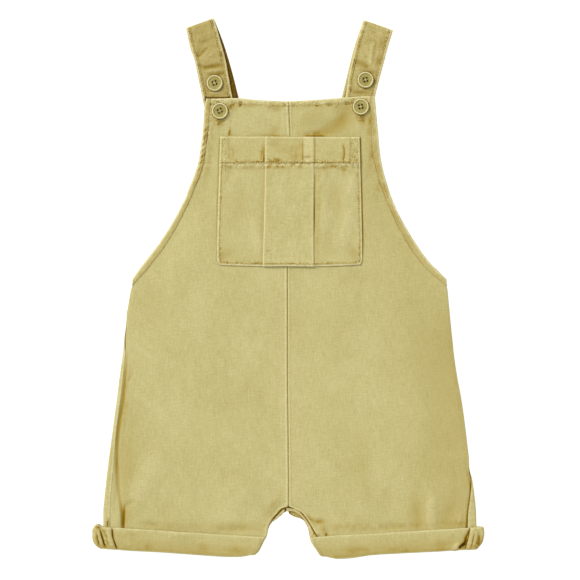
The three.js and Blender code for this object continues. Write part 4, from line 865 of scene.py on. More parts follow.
def make_front(side):
    t, sgn = FRONT[side], SIGN[side]
    s_at = lengths(t)
    total = s_at[-1]
    s = np.concatenate([[0, 0.2, 0.45, 0.8, 1.2, 1.7], np.arange(2.3, 28, 0.62), np.arange(28, total - 0.5, 1.42), [total]])
    row = {k: curve(s_at, t[k], s) for k in t}
    above = smooth((row["yout"] - UNDERARM_Y[side] + 1.5) / 3)
    turned = smooth(look(BACK[side], "yout", row["yout"], "turn") / 45)
    row["xin"] = row["xin"] - sgn * (GAP / 2 - SLIT / 2) * smooth((row["yin"] + 219) / 2)
    row["xout"] = row["xout"] + sgn * (above * (GAP * 1.4 - SLIT) + (1 - above) * turned * (GAP - SLIT))
    # out over the back where its turn begins
    row["xout"] = row["xout"] + sgn * (1.0 * bell(row["yout"] + 48, 10) if side == "right" else 0.9 * bell(row["yout"] + 188, 9))
    dx, dy = row["xout"] - row["xin"], row["yout"] - row["yin"]
    width = np.hypot(dx, dy)
    p = spread(width, HEAD, TAIL, 134)
    share = p / width[:, None]
    fade = 1 - smooth(s / 34)
    bow = look(TOP_BOW[side], "t", share, "up") * fade[:, None]
    x = row["xin"][:, None] + dx[:, None] * share
    y = row["yin"][:, None] + dy[:, None] * share + bow
    z = profile(share, row["zin"][:, None], row["zmid"][:, None], row["zout"][:, None])
    k_in = squareness(row["xin"], row["yin"], dx, dy)[:, None]
    k_out = squareness(row["xout"], row["yout"], dx, dy)[:, None]
    d_in, d_out, d_top = p * k_in, (width[:, None] - p) * k_out, s[:, None] + 0 * p
    # closed along the side where front and back simply meet
    side_open = (1 - above)[:, None] * (1 - turned)[:, None]
    z = z - 0.5 * side_open * bell(d_out, 2.2)

    # creases move the whole wall
    wave = 0.26 * fbm(x / 46 + 3, y / 74, 11 if side == "left" else 23, 3)
    fold = folds(FOLDS[side], x, y) + wave
    h = SIDE_HOLLOW[side]
    yo = row["yout"][:, None]
    deep, off, wide = look(h, "y", yo, "deep"), look(h, "y", yo, "d"), look(h, "y", yo, "wide")
    hollow = deep * bell(d_out - off, wide)
    pocket = inside_box(x, y, POCKET_BOX, 3.0)
    fold = fold * (1 - pocket) - 0.05 * pocket
    fold = fold * lerp(0.35, 1.0, smooth(d_out / 6)) * lerp(0.4, 1.0, smooth(d_in / 4))
    fold = np.maximum(fold, -2.2)
    hollow = np.minimum(hollow, 1.35)

    # the surface: seams, hem and gathers
    relief = np.zeros_like(x)
    crotch = smooth((y + 222) / 4)
    seam = bell(d_in, 0.7)
    relief -= 0.22 * seam
    if side == "right":
        relief += 0.16 * smooth((d_in - 0.6) / 0.8) * (1 - smooth((d_in - 6.6) / 1.6)) * crotch
        relief += 0.2 * bell(d_in - 1.9, 0.8) + 0.16 * bell(d_in - 7.0, 0.8) * smooth((y - 150) / 8)
    else:
        relief += 0.26 * bell(d_in - 1.2, 0.8) - 0.16 * bell(d_in - 3.0, 0.8)
    relief += 0.05 * noise(y / 4.5, 0, 31) * bell(d_in, 3.0)
    band = 1 - smooth((d_top - 4.6) / 0.7)
    relief += 0.26 * band - 0.26 * bell(d_top - 5.3, 0.5)
    relief += 0.34 * ruche(x, d_top - 5.6, 3.4, 3.0, 41 + int(sgn)) + 0.12 * noise(x / 2.2, d_top / 2.5, 43) * band
    relief += 0.36 * bell(d_top - 8, 4.0) * bell(d_in - 4.2, 2.6) * (1 if side == "right" else 0)
    upper = above[:, None] * np.ones_like(x)
    line_y = row["yout"][:, None]
    eased = look(ROPE[side], "y", line_y, "rope")
    relief += ((0.03 + 0.22 * eased) * ruche(line_y + 0.5 * d_out, d_out, 3.0, 2.2, 51) - 0.06 * bell(d_out, 0.5) * smooth((176 - y) / 8)) * upper
    if side == "right":
        relief -= 0.45 * bell(d_in - 0.2, 1.2) * (1 - crotch) * smooth((y + 233) / 4)
    relief = relief * (1 - 0.8 * pocket) + 0.02 * pocket
    top_round = rounding(d_in, 0.6, 0.3) * lerp(rounding(d_out, 0.5, 0.35), rounding(d_out, 0.3, 0.95), upper) * rounding(d_top, 1.0)
    face = np.stack([x, y, z + fold - hollow + CLOTH / 2 * top_round + relief], -1)
    under = np.stack([x, y, np.maximum(z + fold - hollow - CLOTH / 2 * top_round, 1.24)], -1)
    face[..., 2] = np.maximum(face[..., 2], under[..., 2] + 0.12)

    # dye and painted shade sit in the gathers, folds and side hollow, and the edges and crests are paler from wear and
    # painted highlight
    dye = 0.55 * smooth(-relief / 0.35 - 0.15) + 0.66 * smooth(hollow / 1.3) + 0.13 * smooth(-folds(FOLDS[side], x, y) / 1.2 - 0.05) * (1 - pocket)
    # dark lines along the centre seam and the bib's stitching, from dye and painted shade
    dye += 0.45 * bell(d_in, 0.42) + 0.3 * bell(d_top - 5.4, 0.7) + 0.08 * upper * bell(d_out, 1.0) * smooth((178 - y) / 8)
    dye += stains_and_shade(STAINS_AND_SHADE[side], x, y) + pinched(DYE_AND_SHADE_LINES[side], x, y)
    bx, by, _, _ = BUTTONS[f"button_lower_{side}"]
    dye += pinched(BELOW_BUTTON, x - bx, y - by)
    dye += 0.22 * smooth(noise(x / 5.5, y / 3.5, 71)) * bell(d_top - 5, 4.5)
    # painted shadow in the gap between the left front's outer edge and the back's lap, near the turn-up
    if side == "left":
        dye += 1.2 * bell(d_out - 0.4, 0.55) * smooth((-188 - y) / 14)
    # painted shade: the left front darkens towards its outer side, which faces away from the key light
    if side == "left":
        dye += (0.18 * smooth((80 - d_out) / 70) + 0.06 * smooth((24 - d_out) / 24)) * (1 - pocket) * lerp(1.0, 0.35, smooth((y + 60) / 80))
    # painted shadow beside the pocket: a dark line outside its right edge, and a lighter one outside its left
    if side == "left":
        dye += 0.95 * bell(x - look(POCKET, "y", np.clip(y, 23.6, 151), "xr") - 0.6, 0.8) * smooth((152.5 - y) / 2) * smooth((y - 22) / 30)
    else:
        dye += 0.5 * bell(x - look(POCKET, "y", np.clip(y, 23.6, 151), "xl") + 0.7, 0.7) * smooth((152 - y) / 3) * smooth((y - 24) / 60)
    # along the inseam: painted shade, dark as far as the back shows beyond it
    if side == "right":
        near = smooth((y + 232) / 4)
        dye += ((0.75 * near + 0.1) * bell(d_in, 0.9) - 0.3 * bell(d_in, 0.42) * (1 - near)) * (1 - crotch)
    else:
        dye += (0.1 + 0.7 * smooth((x - 11) / 4)) * bell(d_in, 0.5) * (1 - crotch) + 0.9 * bell(x - 14.5, 1.6) * bell(d_in - 0.4, 0.8) * (1 - crotch)
    # painted shadow: a dark ring round each button, offset towards the lower right
    for bx, by, _, _ in BUTTONS.values():
        dye += 0.8 * bell(np.hypot(x - bx - 0.35, y - by + 0.35) - 8.2, 0.6)
    # wear and painted highlight on the top edge and the seam's rolled edge; painted highlight on raised relief and fold
    # crests
    wear_and_highlight = 0.8 * bell(d_top - 0.7, 0.8) + (0.4 * bell(d_in - 1.2, 0.6) if side == "left" else 0.32 * bell(d_in - 1.9, 0.6))
    wear_and_highlight += 0.3 * smooth(relief / 0.3 - 0.3) + 0.25 * smooth(fold / 0.8 - 0.25)
    cloth = np.stack([x, y + 0.003 * x, np.full_like(x, 3.0 * sgn)], -1)
    drawn = 0.8 * bell(d_top - 4.2, 4.0) + (0.05 + 0.6 * eased) * upper * bell(d_out, 4.5) + 0.2 * bell(d_in, 2.5)
    for bx, by, _, _ in BUTTONS.values():
        drawn += 0.7 * bell(np.hypot(x - bx, y - by + 5), 11)
    ob = shell(f"front_{side}", face, under, BODY_CLOTH, cloth, np.clip(dye, 0, 1.2), np.clip(wear_and_highlight, 0, 1), drawn * (1 - pocket))
    remember(f"front_{side}", face)
    j5 = int(np.argmin(np.abs(s - 5.3)))
    PATHS[f"bib_{side}"] = face[j5, 3:-2]
    edge = [i for i in range(len(s)) if row["yout"][i] > UNDERARM_Y[side]]
    PATHS[f"hem_{side}"] = face[edge, -1] + np.array([0, 0, 0.18])
    return ob


# ------------------------------------------------------------------ armhole hems
# how strongly each is roped, and how much it is darkened, by dye and painted shade
ROPE = {
    "right": table("y rope dye", [(190, 0.1, 0.1), (180, 0.5, 0.35), (174, 0.8, 0.5), (160, 1.05, 0.55), (140, 1.0, 0.5), (124, 0.75, 0.4), (112, 0.5, 0.3), (98, 0.3, 0.25),
                                  (80, 0.16, 0.12), (50, 0.1, 0.08), (20, 0.1, 0.08), (2, 0.1, 0.08)]),
    "left": table("y rope dye", [(192, 0.06, 0.06), (180, 0.12, 0.12), (168, 0.25, 0.25), (150, 0.3, 0.28), (124, 0.35, 0.28), (108, 0.45, 0.34), (70, 0.4, 0.3), (46, 0.3, 0.25),
                                 (24, 0.16, 0.14), (2, 0.12, 0.1)]),
}


def make_armhole_hem(side):
    t, sgn = ARMHOLE[side], SIGN[side]
    s_at = np.concatenate([[0], np.cumsum(np.hypot(np.diff(t["x"]), np.diff(t["y"])))])
    total = s_at[-1]
    s = np.concatenate([[0, 0.3, 0.7], np.arange(1.2, total - 0.8, 0.66), [total - 0.4, total]])
    o = {k: curve(s_at, t[k], s) for k in t}
    width = np.hypot(o["ix"] - o["x"], o["iy"] - o["y"])
    p = spread(width, [0, 0.22, 0.55, 1.0, 1.6], [0, 0.22, 0.5, 0.85, 1.35, 1.95, 2.6], 7)
    share = p / width[:, None]
    wob = 0.13 * noise(s / 3.6, 0, 91 + int(sgn)) + 0.1 * noise(s / 9, 0, 95)
    nx, ny = (o["x"] - o["ix"]) / width, (o["y"] - o["iy"]) / width
    x = lerp(o["x"][:, None], o["ix"][:, None], share) + (nx * wob)[:, None] * (1 - share)
    y = lerp(o["y"][:, None], o["iy"][:, None], share) + (ny * wob)[:, None] * (1 - share)
    mid = np.maximum(line(FRONT[side], "yin", (o["y"] + o["iy"]) / 2, "zout"), BACK_MID * 2 + GAP + HEM / 2)[:, None]
    d_out, d_in = p, width[:, None] - p
    # the rope of a hem eased round a curve: slanting rolls between the stitches
    swing = s[:, None] + 1.15 * d_out
    pitch = 7.3 + 0.0 * swing
    beat = swing / pitch + 0.35 * noise(swing / 23, 0, 97 + int(sgn))
    roll = np.cos(2 * math.pi * beat)
    rope = ROPE[side]
    strong = look(rope, "y", o["y"], "rope")[:, None] * (0.8 + 0.5 * noise(s / 11, 0, 101 + int(sgn))[:, None])
    darkened = look(rope, "y", o["y"], "dye")[:, None]
    body = smooth(d_out / 1.2) * smooth(d_in / 1.0)
    relief = 0.27 * strong * roll * body + (0.03 + 0.12 * strong) * ruche(swing, d_in, 2.5, 2.4, 103 + int(sgn)) + 0.03 * noise(x / 1.6, y / 1.6, 107)
    stitch = bell(d_in - 1.25, 0.55)
    relief = relief - (0.06 + 0.14 * np.minimum(strong, 1)) * stitch + 0.1 * bell(d_in - 0.3, 0.4)
    lift = 0.18 * bell(d_out - width[:, None] * 0.45, 1.8)
    sink = 0.22 * bell(d_in, 0.8)
    face = np.stack([x, y, mid + HEM / 2 * rounding(d_out, 1.1, 0.2) * rounding(d_in, 0.3, 0.94) - 0.1 + lift - sink + relief], -1)
    under = np.stack([x, y, np.maximum(mid - HEM / 2 * rounding(d_out, 0.9) * rounding(d_in, 0.7), 1.24)], -1)
    face[..., 2] = np.maximum(face[..., 2], under[..., 2] + 0.15)
    patchy = 0.7 + 0.6 * noise(s / 7.0, 0, 111 + int(sgn))[:, None]
    # dye and painted shade: darker between the rolls, along the stitches and at the inner seam, with darker patches
    # along the band
    dye = 0.6 * smooth(-roll * strong - 0.05) * body + 0.14 * stitch + darkened * patchy * smooth((d_out - 0.8) / 1.8) + 0.38 * bell(d_in, 0.5) * smooth((183 - y) / 5)
    # wear and painted highlight on the outer rim, painted highlight on the roll crests
    wear_and_highlight = 0.75 * bell(d_out - 0.8, 1.0) + 0.3 * smooth(roll * strong - 0.3) * body * bell(d_in - 2.6, 1.4)
    cloth = np.stack([s[:, None] * 0.6 + x * 0.5, d_out + y * 0.2, np.full_like(x, 20 + 5 * sgn)], -1)
    drawn = (0.06 + 0.4 * smooth((look(rope, "y", o["y"], "rope")[:, None] - 0.2) / 0.5)) * (0.5 + 0.5 * smooth(d_out / 1.5))
    ob = shell(f"armhole_hem_{side}", face, under, HEM_CLOTH, cloth, np.clip(dye, 0, 1), np.clip(wear_and_highlight, 0, 1), drawn, rk=4, ck=4)
    remember(f"armhole_hem_{side}", face)
    at = np.array([np.interp(1.25, (width[i] - p[i])[::-1], range(p.shape[1])[::-1]) for i in range(len(s))])
    j = np.clip(np.round(at).astype(int), 0, p.shape[1] - 1)
    PATHS[f"armhole_{side}"] = face[np.arange(len(s)), j]
    return ob


# ------------------------------------------------------------------ the backs
ARC = 14


def make_back(side):
    t, sgn = BACK[side], SIGN[side]
    s_at = lengths(t)
    total = s_at[-1]
    s = np.concatenate([[0, 0.3, 0.8, 1.5, 2.4, 3.5], np.arange(5, total - 1, 1.9), [total]])
    r_ = {k: curve(s_at, t[k], s) for k in t}
    r_["xin"] = r_["xin"] - sgn * (GAP / 2 - SLIT / 2) * smooth((r_["yin"] + 223.4) / 1.2)
    turn_at = np.radians(np.clip(r_["turn"], 0, 180))
    n = len(s)
    face, lining, dye, wear_and_highlight, cloth = [], [], [], [], []
    for i in range(n):
        xin, yin, edge, yout = r_["xin"][i], r_["yin"][i], r_["edge"][i], r_["yout"][i]
        zb, zf, lap = r_["zback"][i], r_["zfront"][i], max(r_["lap"][i], 0.4)
        a_full, w = max(turn_at[i], math.radians(50)), min(turn_at[i] / math.radians(50), 1.0)
        r = (zf - zb) / 2 if zf > 2.9 or w > 0.5 else 1.6
        start = edge - sgn * (0.6 + r)
        flat_start = edge - sgn * 2.6
        st = lerp(flat_start, start, w)
        cols = spread(abs(st - xin), [0, 0.3, 0.8, 1.5, 2.6], [0], 60) / abs(st - xin)
        pts = [(lerp(xin, st, c), lerp(yin, yout, c), zb) for c in cols]
        nrm = [(0.0, 0.0, 1.0)] * len(pts)
        for k in range(1, ARC + 1):
            a = a_full * k / ARC
            arc = (start + sgn * r * math.sin(a), zb + r * (1 - math.cos(a)))
            plain = (lerp(flat_start, edge, k / (ARC + 6)), zb)
            pts.append((lerp(plain[0], arc[0], w), yout, lerp(plain[1], arc[1], w)))
            aw = a * w
            nrm.append((-sgn * math.sin(aw), 0.0, math.cos(aw)))
        last = pts[-1]
        ext = lap + (GAP - SLIT) * w
        for k in range(1, 7):
            f = [0.3, 0.55, 0.72, 0.85, 0.94, 1.0][k - 1]
            arc = (start + sgn * r * math.sin(a_full) + sgn * ext * f * math.cos(a_full), zb + r * (1 - math.cos(a_full)) + ext * f * math.sin(a_full))
            plain = (lerp(flat_start, edge, (ARC + k) / (ARC + 6)), zb)
            pts.append((lerp(plain[0], arc[0], w), yout, lerp(plain[1], arc[1], w)))
            nrm.append(nrm[ARC + len(cols) - 1])
        pts, nrm = np.array(pts), np.array(nrm)
        along = np.concatenate([[0], np.cumsum(np.linalg.norm(np.diff(pts, axis=0), axis=1))])
        rest = along[-1] - along
        round_in, round_out, round_top = rounding(along, 0.7, 0.2), rounding(rest, 0.8, 0.2), rounding(np.array([s[i], total - s[i]]).min(), 0.9, 0.25)
        h = CLOTH / 2 * round_in * round_out * round_top
        laps = np.arange(len(pts)) >= len(cols) + ARC // 2
        up = 0.22 * bell(rest - 1.1, 0.9) * laps * w + 0.1 * noise(yout / 5, 0, 131) * bell(rest - 1.5, 2) * laps
        # shallow hollows on the side that lies on the table: the seat seam, the top's hem and soft creases
        x, y = pts[:, 0], pts[:, 1]
        seams = 0.3 * bell(along - 0.2, 0.9) + 0.22 * bell(s[i] - 9.0, 0.7) * (~laps)
        under = seams + np.maximum(folds(BACK_FOLDS[side], x, y), 0) * (~laps)
        under = under + 0.12 * np.maximum(fbm(x / 30, y / 50, 137 + int(sgn)), 0) * (~laps)
        face.append(pts - nrm * (h + up - under)[:, None])
        lining.append(pts + nrm * (h - np.where(laps, 0, 0))[:, None] + np.array([0, 0, 0.0]))
        slit = stains_and_shade(BACK_MARKS[side], x, y) * laps
        inside = stains_and_shade(BACK_SHADE[side], x, y) * (~laps)
        face[-1] = face[-1] + nrm * (0.7 * slit)[:, None]
        # dye and painted shade: the painted slit and crotch shade, darker at the centre edge, the seams and the lap's
        # free edge
        d = slit + inside + 0.5 * bell(along, 0.7) + 0.3 * smooth(seams / 0.3) + 0.07 * smooth(under / 0.4) + 0.55 * bell(rest, 0.45) * laps
        dye.append(d + 0.3 * bell(s[i] - 9.0, 0.8))
        # wear and painted highlight on the lap's free edge and the top edge
        wear_and_highlight.append(0.4 * bell(rest - 1.2, 0.9) * laps + 0.4 * bell(s[i] - 0.8, 0.8))
        cloth.append(np.stack([xin + sgn * along, y, np.full_like(x, 40 + 5 * sgn)], -1))
    face, lining = np.array(face), np.array(lining)
    ob = shell(f"back_{side}", face, lining, BODY_CLOTH, np.array(cloth), np.clip(np.array(dye), 0, 2), np.clip(np.array(wear_and_highlight), 0, 1), rk=2, ck=2)
    return ob


# pinches in the lap just above the turn-ups, pressed in and painted dark as the shadow in a slit
BACK_MARKS = {"right": [(-180.0, -236.4, 86, 13, 2.6, 2.1)], "left": [(184.6, -238.6, 60, 6, 2.0, 0.5)]}
# the inside of the back, where it shows in the shade of the crotch
BACK_SHADE = {"right": [(-2.4, -222.0, 0, 7, 7, 1.5), (-9, -226, 42, 16, 5, 0.7)], "left": [(1.4, -222.6, 0, 6, 5, 1.1), (9, -226.5, -25, 20, 8, 0.75)]}
# hollows on the hidden side (high is how far the cloth lifts off the table)
BACK_FOLDS = {
    "right": [
        (-60, 96, 74, 60, 5, 0.35, 3), (-96, 30, 60, 80, 7, 0.4, -4), (-40, -20, 84, 110, 9, 0.35, 6), (-120, -60, 82, 90, 8, 0.4, 4),
        (-80, -130, 92, 100, 10, 0.35, -5), (-150, -180, 74, 60, 6, 0.4, 3), (-60, -205, 78, 50, 6, 0.35, 2), (-24, -214, 50, 26, 3, 0.35, 0),
        (-130, -226, -3, 40, 3, 0.35, 0),
    ],
    "left": [
        (64, 92, 104, 66, 6, 0.35, -3), (100, 26, 122, 74, 7, 0.4, 4), (44, -26, 92, 120, 10, 0.35, -6), (128, -66, 98, 90, 8, 0.4, -3),
        (84, -136, 90, 110, 9, 0.35, 5), (150, -176, 104, 60, 6, 0.4, 2), (66, -204, 102, 50, 6, 0.35, -2), (24, -216, 128, 26, 3, 0.35, 0),
        (128, -226, 4, 40, 3, 0.35, 0),
    ],
}


# ------------------------------------------------------------------ inseam bands
INSEAM = {
    "right": table("x y bx by z", [
        (-4.6, -220.7, -2.9, -223.0, 2.1), (-9.9, -226.2, -8.0, -228.2, 2.1),
        (-13.4, -229.9, -11.8, -231.6, 2.1), (-16.2, -233.2, -14.9, -233.6, 2.2)]),
    "left": table("x y bx by z", [
        (-1.4, -219.9, -1.9, -223.2, 2.7), (5.9, -220.85, 4.8, -223.6, 2.75),
        (12.75, -224.75, 10.7, -227.2, 2.6), (19.15, -232.2, 16.6, -233.8, 2.5),
        (23.0, -238.2, 19.8, -239.8, 3.1), (25.85, -243.1, 21.2, -244.6, 3.7),
        (30.2, -250.2, 22.6, -251.4, 4.2)]),
}


def make_inseam_band(side):
    t = INSEAM[side]
    s_at = np.concatenate([[0], np.cumsum(np.hypot(np.diff(t["x"]), np.diff(t["y"])))])
    s = np.concatenate([[0, 0.25, 0.6], np.arange(1.1, s_at[-1] - 0.7, 0.5), [s_at[-1] - 0.3, s_at[-1]]])
    o = {k: curve(s_at, t[k], s) for k in t}
    width = np.hypot(o["bx"] - o["x"], o["by"] - o["y"])
    f = np.linspace(0, 1, 13)
    p = width[:, None] * f
    x, y = lerp(o["x"][:, None], o["bx"][:, None], f), lerp(o["y"][:, None], o["by"][:, None], f)
    z = o["z"][:, None] + 0 * x
    ends = np.minimum(s, s_at[-1] - s)[:, None]
    ridge = 0.1 * np.cos(2 * math.pi * s / 2.2)[:, None] * bell(f - 0.5, 0.35)
    h = 0.5 * rounding(width[:, None] - p, 0.8, 0.25) * rounding(ends, 0.8, 0.25)
    face = np.stack([x, y, z + h + ridge], -1)
    under = np.stack([x, y, z - h], -1)
    # painted shade: dark where the band tucks under the front's edge and along its far edge
    dye = 1.1 * bell(f - 0.0, 0.22) * (1 if side == "right" else smooth((x - 11) / 4)) + 0.25 * bell(f - 1.0, 0.2) + 0 * x
    if side == "left":
        # painted shade: darker near the centre, where the back shows beside it, and along its free edge further out,
        # with a dark spot at its end
        dye = dye + 0.35 * smooth((8 - x) / 5) + 1.0 * bell(f - 0.9, 0.25) * bell(x - 13.5, 4.5) + 0.8 * stains_and_shade([(25.2, -246.8, 60, 5, 2.4, 1.2)], x, y)
    # painted highlight along the band's middle ridge
    wear_and_highlight = 0.4 * bell(f - 0.55, 0.2) + 0 * x
    cloth = np.stack([x + 40, y, np.full_like(x, 60.0)], -1)
    return shell(f"inseam_band_{side}", face, under, HEM_CLOTH, cloth, dye, wear_and_highlight, 0.6 + 0 * x, rk=2, ck=2)


# ------------------------------------------------------------------ turn-ups
CUFF_TOP = {"right": table("x y", [(-196, -237.9), (-21, -249)]), "left": table("x y", [(20, -249.1), (196, -238.1)])}
CUFF_FOLD = {
    "right": table("x y", [(-196, -260.3), (-188, -260.8), (-165, -262.6), (-126, -264.6), (-97, -266.4), (-46, -268.8), (-38, -268.8), (-30, -267.0)]),
    "left": table("x y", [(30, -268.4), (38, -270.8), (50, -270.4), (66, -268.8), (80, -267.0), (112, -265.2), (154, -263.2), (176, -261.8), (196, -261.4)]),
}
CUFF_INNER = {
    "right": table("y x", [(-249, -22.0), (-257, -25.8), (-262.7, -28.8), (-266, -32.0), (-268.5, -37)]),
    "left": table("y x", [(-249, 21.2), (-255, 23.7), (-262.7, 28.8), (-267.8, 32.4), (-270.6, 38)]),
}
CUFF_OUTER = {
    "right": table("y x", [(-238, -192.6), (-242.5, -195.7), (-250, -195.7), (-255, -194), (-258.6, -191), (-260.8, -187.5)]),
    "left": table("y x", [(-238, 195.6), (-246, 196), (-250, 195.4), (-255, 193.9), (-258.6, 191.6), (-261.6, 188.5)]),
}
CUFF_SEAM = {
    "right": table("y x", [(-238, -176.2), (-248, -175.0), (-262, -170.6)]),
    "left": table("y x", [(-238, 182.2), (-248, 180.6), (-262, 177.0)]),
}
# creases of the turn-ups' front faces
CUFF_FOLDS = {
    "right": [
        (-139, -256.5, 86, 22, 3.2, -0.45, 0), (-120, -252, 70, 18, 5, 0.25, 0), (-84, -256, 94, 22, 6, -0.25, 0), (-52, -258, 80, 18, 4, -0.22, 0),
        (-160, -252, 100, 22, 3, 0.25, 0), (-104, -246, 2, 50, 3, 0.2, 0), (-60, -262, -3, 40, 2.5, -0.2, 0), (-170, -258, 60, 12, 2, -0.3, 0),
    ],
    "left": [
        (70, -258, 84, 22, 5, -0.3, 0), (104, -254, 96, 20, 5, 0.25, 0), (136, -254, 82, 22, 4.5, -0.3, 0), (50, -260, 100, 20, 3.5, 0.22, 0),
        (163, -252, 96, 22, 4, 0.28, 0), (120, -246, 4, 60, 3, 0.18, 0), (167.8, -258.6, 60, 14, 2.8, 1.2, 0), (174.6, -256.8, 38, 14, 1.0, -2.4, 0), (164, -256, 30, 16, 3, -0.4, 0),
    ],
}
# ribs and grooves where the turn-ups are bunched at their outer ends
CUFF_ENDS = {
    "right": [
        (-185.2, -250, -73, 28, 0.8, -1.3, 0), (-189.9, -251.5, -79, 22, 0.6, -0.7, 0), (-187.6, -250, -77, 26, 1.5, 0.5, 0),
        (-182.4, -250, -75, 24, 1.6, 0.4, 0), (-178.2, -249, -75, 34, 2.2, 0.5, 0), (-181.0, -250, -76, 26, 0.7, -0.3, 0), (-192.6, -249, -80, 24, 1.6, 0.5, 0),
    ],
    "left": [
        (182.6, -250.0, 77, 34, 2.2, 0.7, 0), (178.6, -250, 74, 24, 1.1, -0.9, 0), (184.8, -252, 77, 24, 0.6, -0.4, 0),
        (190.6, -252, 82, 22, 1.6, -0.8, 0), (187.4, -250, 78, 24, 1.6, 0.5, 0), (194.0, -248, 82, 24, 1.8, 0.5, 0),
    ],
}


# where the turn-ups are darker: dye, and painted shade in the hollows and in the wedge beside the bump on the left
# turn-up
CUFF_STAINS_AND_SHADE = {
    "right": [
        (-139, -259, 86, 12, 10, 0.35), (-84, -260, 80, 12, 14, 0.25), (-50, -262, 0, 24, 8, 0.3), (-160, -246, 0, 30, 6, 0.2),
    ],
    "left": [
        (176.8, -250.5, 72, 16, 4.6, 0.75), (70, -262, 0, 30, 8, 0.3), (112, -261, 0, 30, 8, 0.3), (152, -258, 80, 14, 12, 0.35), (162, -249, 60, 12, 6, 0.3),
    ],
}


# and where dye and painted shade lie in lines, painted darkest as the shadow in a pinch
CUFF_PITS = {
    "right": [
        (-185.2, -250, -73, 24, 0.5, 1.05, 0), (-189.8, -251.5, -79, 18, 0.45, 0.8, 0), (-175.6, -245.0, -86, 16, 0.55, 1.0, 0), (-172.9, -255.4, -70, 13, 0.5, 0.85, 0),
        (-184, -243.4, -60, 8, 0.6, 0.5, 0), (-181.6, -247.8, -50, 7, 0.6, 0.5, 0), (-180.8, -253, -62, 9, 0.6, 0.5, 0), (-183.0, -256.2, -40, 6, 0.6, 0.5, 0),
        (-189.0, -239.6, 24, 8, 1.3, 1.05, 0.8), (-192.6, -247, -82, 14, 0.6, 0.3, 0),
    ],
    "left": [
        (184.3, -252.5, 77, 20, 0.5, 0.65, 0), (179.2, -245.6, 64, 14, 0.5, 0.8, 0), (177.0, -253.0, 82, 12, 0.7, 1.1, 0), (173.8, -257.2, 36, 11, 0.9, 2.0, 0),
        (190.5, -252.4, 82, 17, 1.3, 0.45, 0), (187.2, -256, 70, 9, 0.6, 0.4, 0), (193.4, -254, 80, 10, 0.6, 0.35, 0),
    ],
}


def cuff_lines(side):
    sgn = SIGN[side]
    rad = (CUFF_FRONT - CUFF_BACK) / 2
    reach = rad + LEAF_OUT + TURNUP / 2
    inner = lambda y: look(CUFF_INNER[side], "y", y, "x") + sgn * reach
    outer = lambda y: look(CUFF_OUTER[side], "y", y, "x") - sgn * reach
    seam = lambda y: look(CUFF_SEAM[side], "y", y, "x")
    return sgn, rad, inner, outer, seam


def fold_section(top, foot):
    """Down the outer leaf, round the bottom fold and up inside: distance out, y, normal, half wall,
    and how far round the cloth each step lies."""
    mid, r = (LEAF_OUT + LEAF_IN) / 2, (LEAF_OUT - LEAF_IN) / 2
    leaf = top - 0.15 - (foot + r + 0.7)
    steps = spread(leaf, [0, 0.2, 0.5, 0.9, 1.4, 2.1], [0, 0.9], 15)
    out = [(LEAF_OUT, top - 0.15 - d, 1.0, 0.0, TURNUP / 2 * float(rounding(d, 1.0, 0.25)), d) for d in steps]
    for k in range(1, 15):
        a = math.pi * k / 14
        out.append((mid + r * math.cos(a), foot + r + 0.7 - r * math.sin(a), math.cos(a), -math.sin(a), lerp(TURNUP / 2, CLOTH / 2, k / 14), leaf + r * a))
    for f in (0.2, 0.5, 0.8, 1.0):
        out.append((LEAF_IN, lerp(foot + r + 0.7, top - 8.3, f), -1.0, 0.0, CLOTH / 2, leaf + r * math.pi + f * (leaf - 8)))
    return out


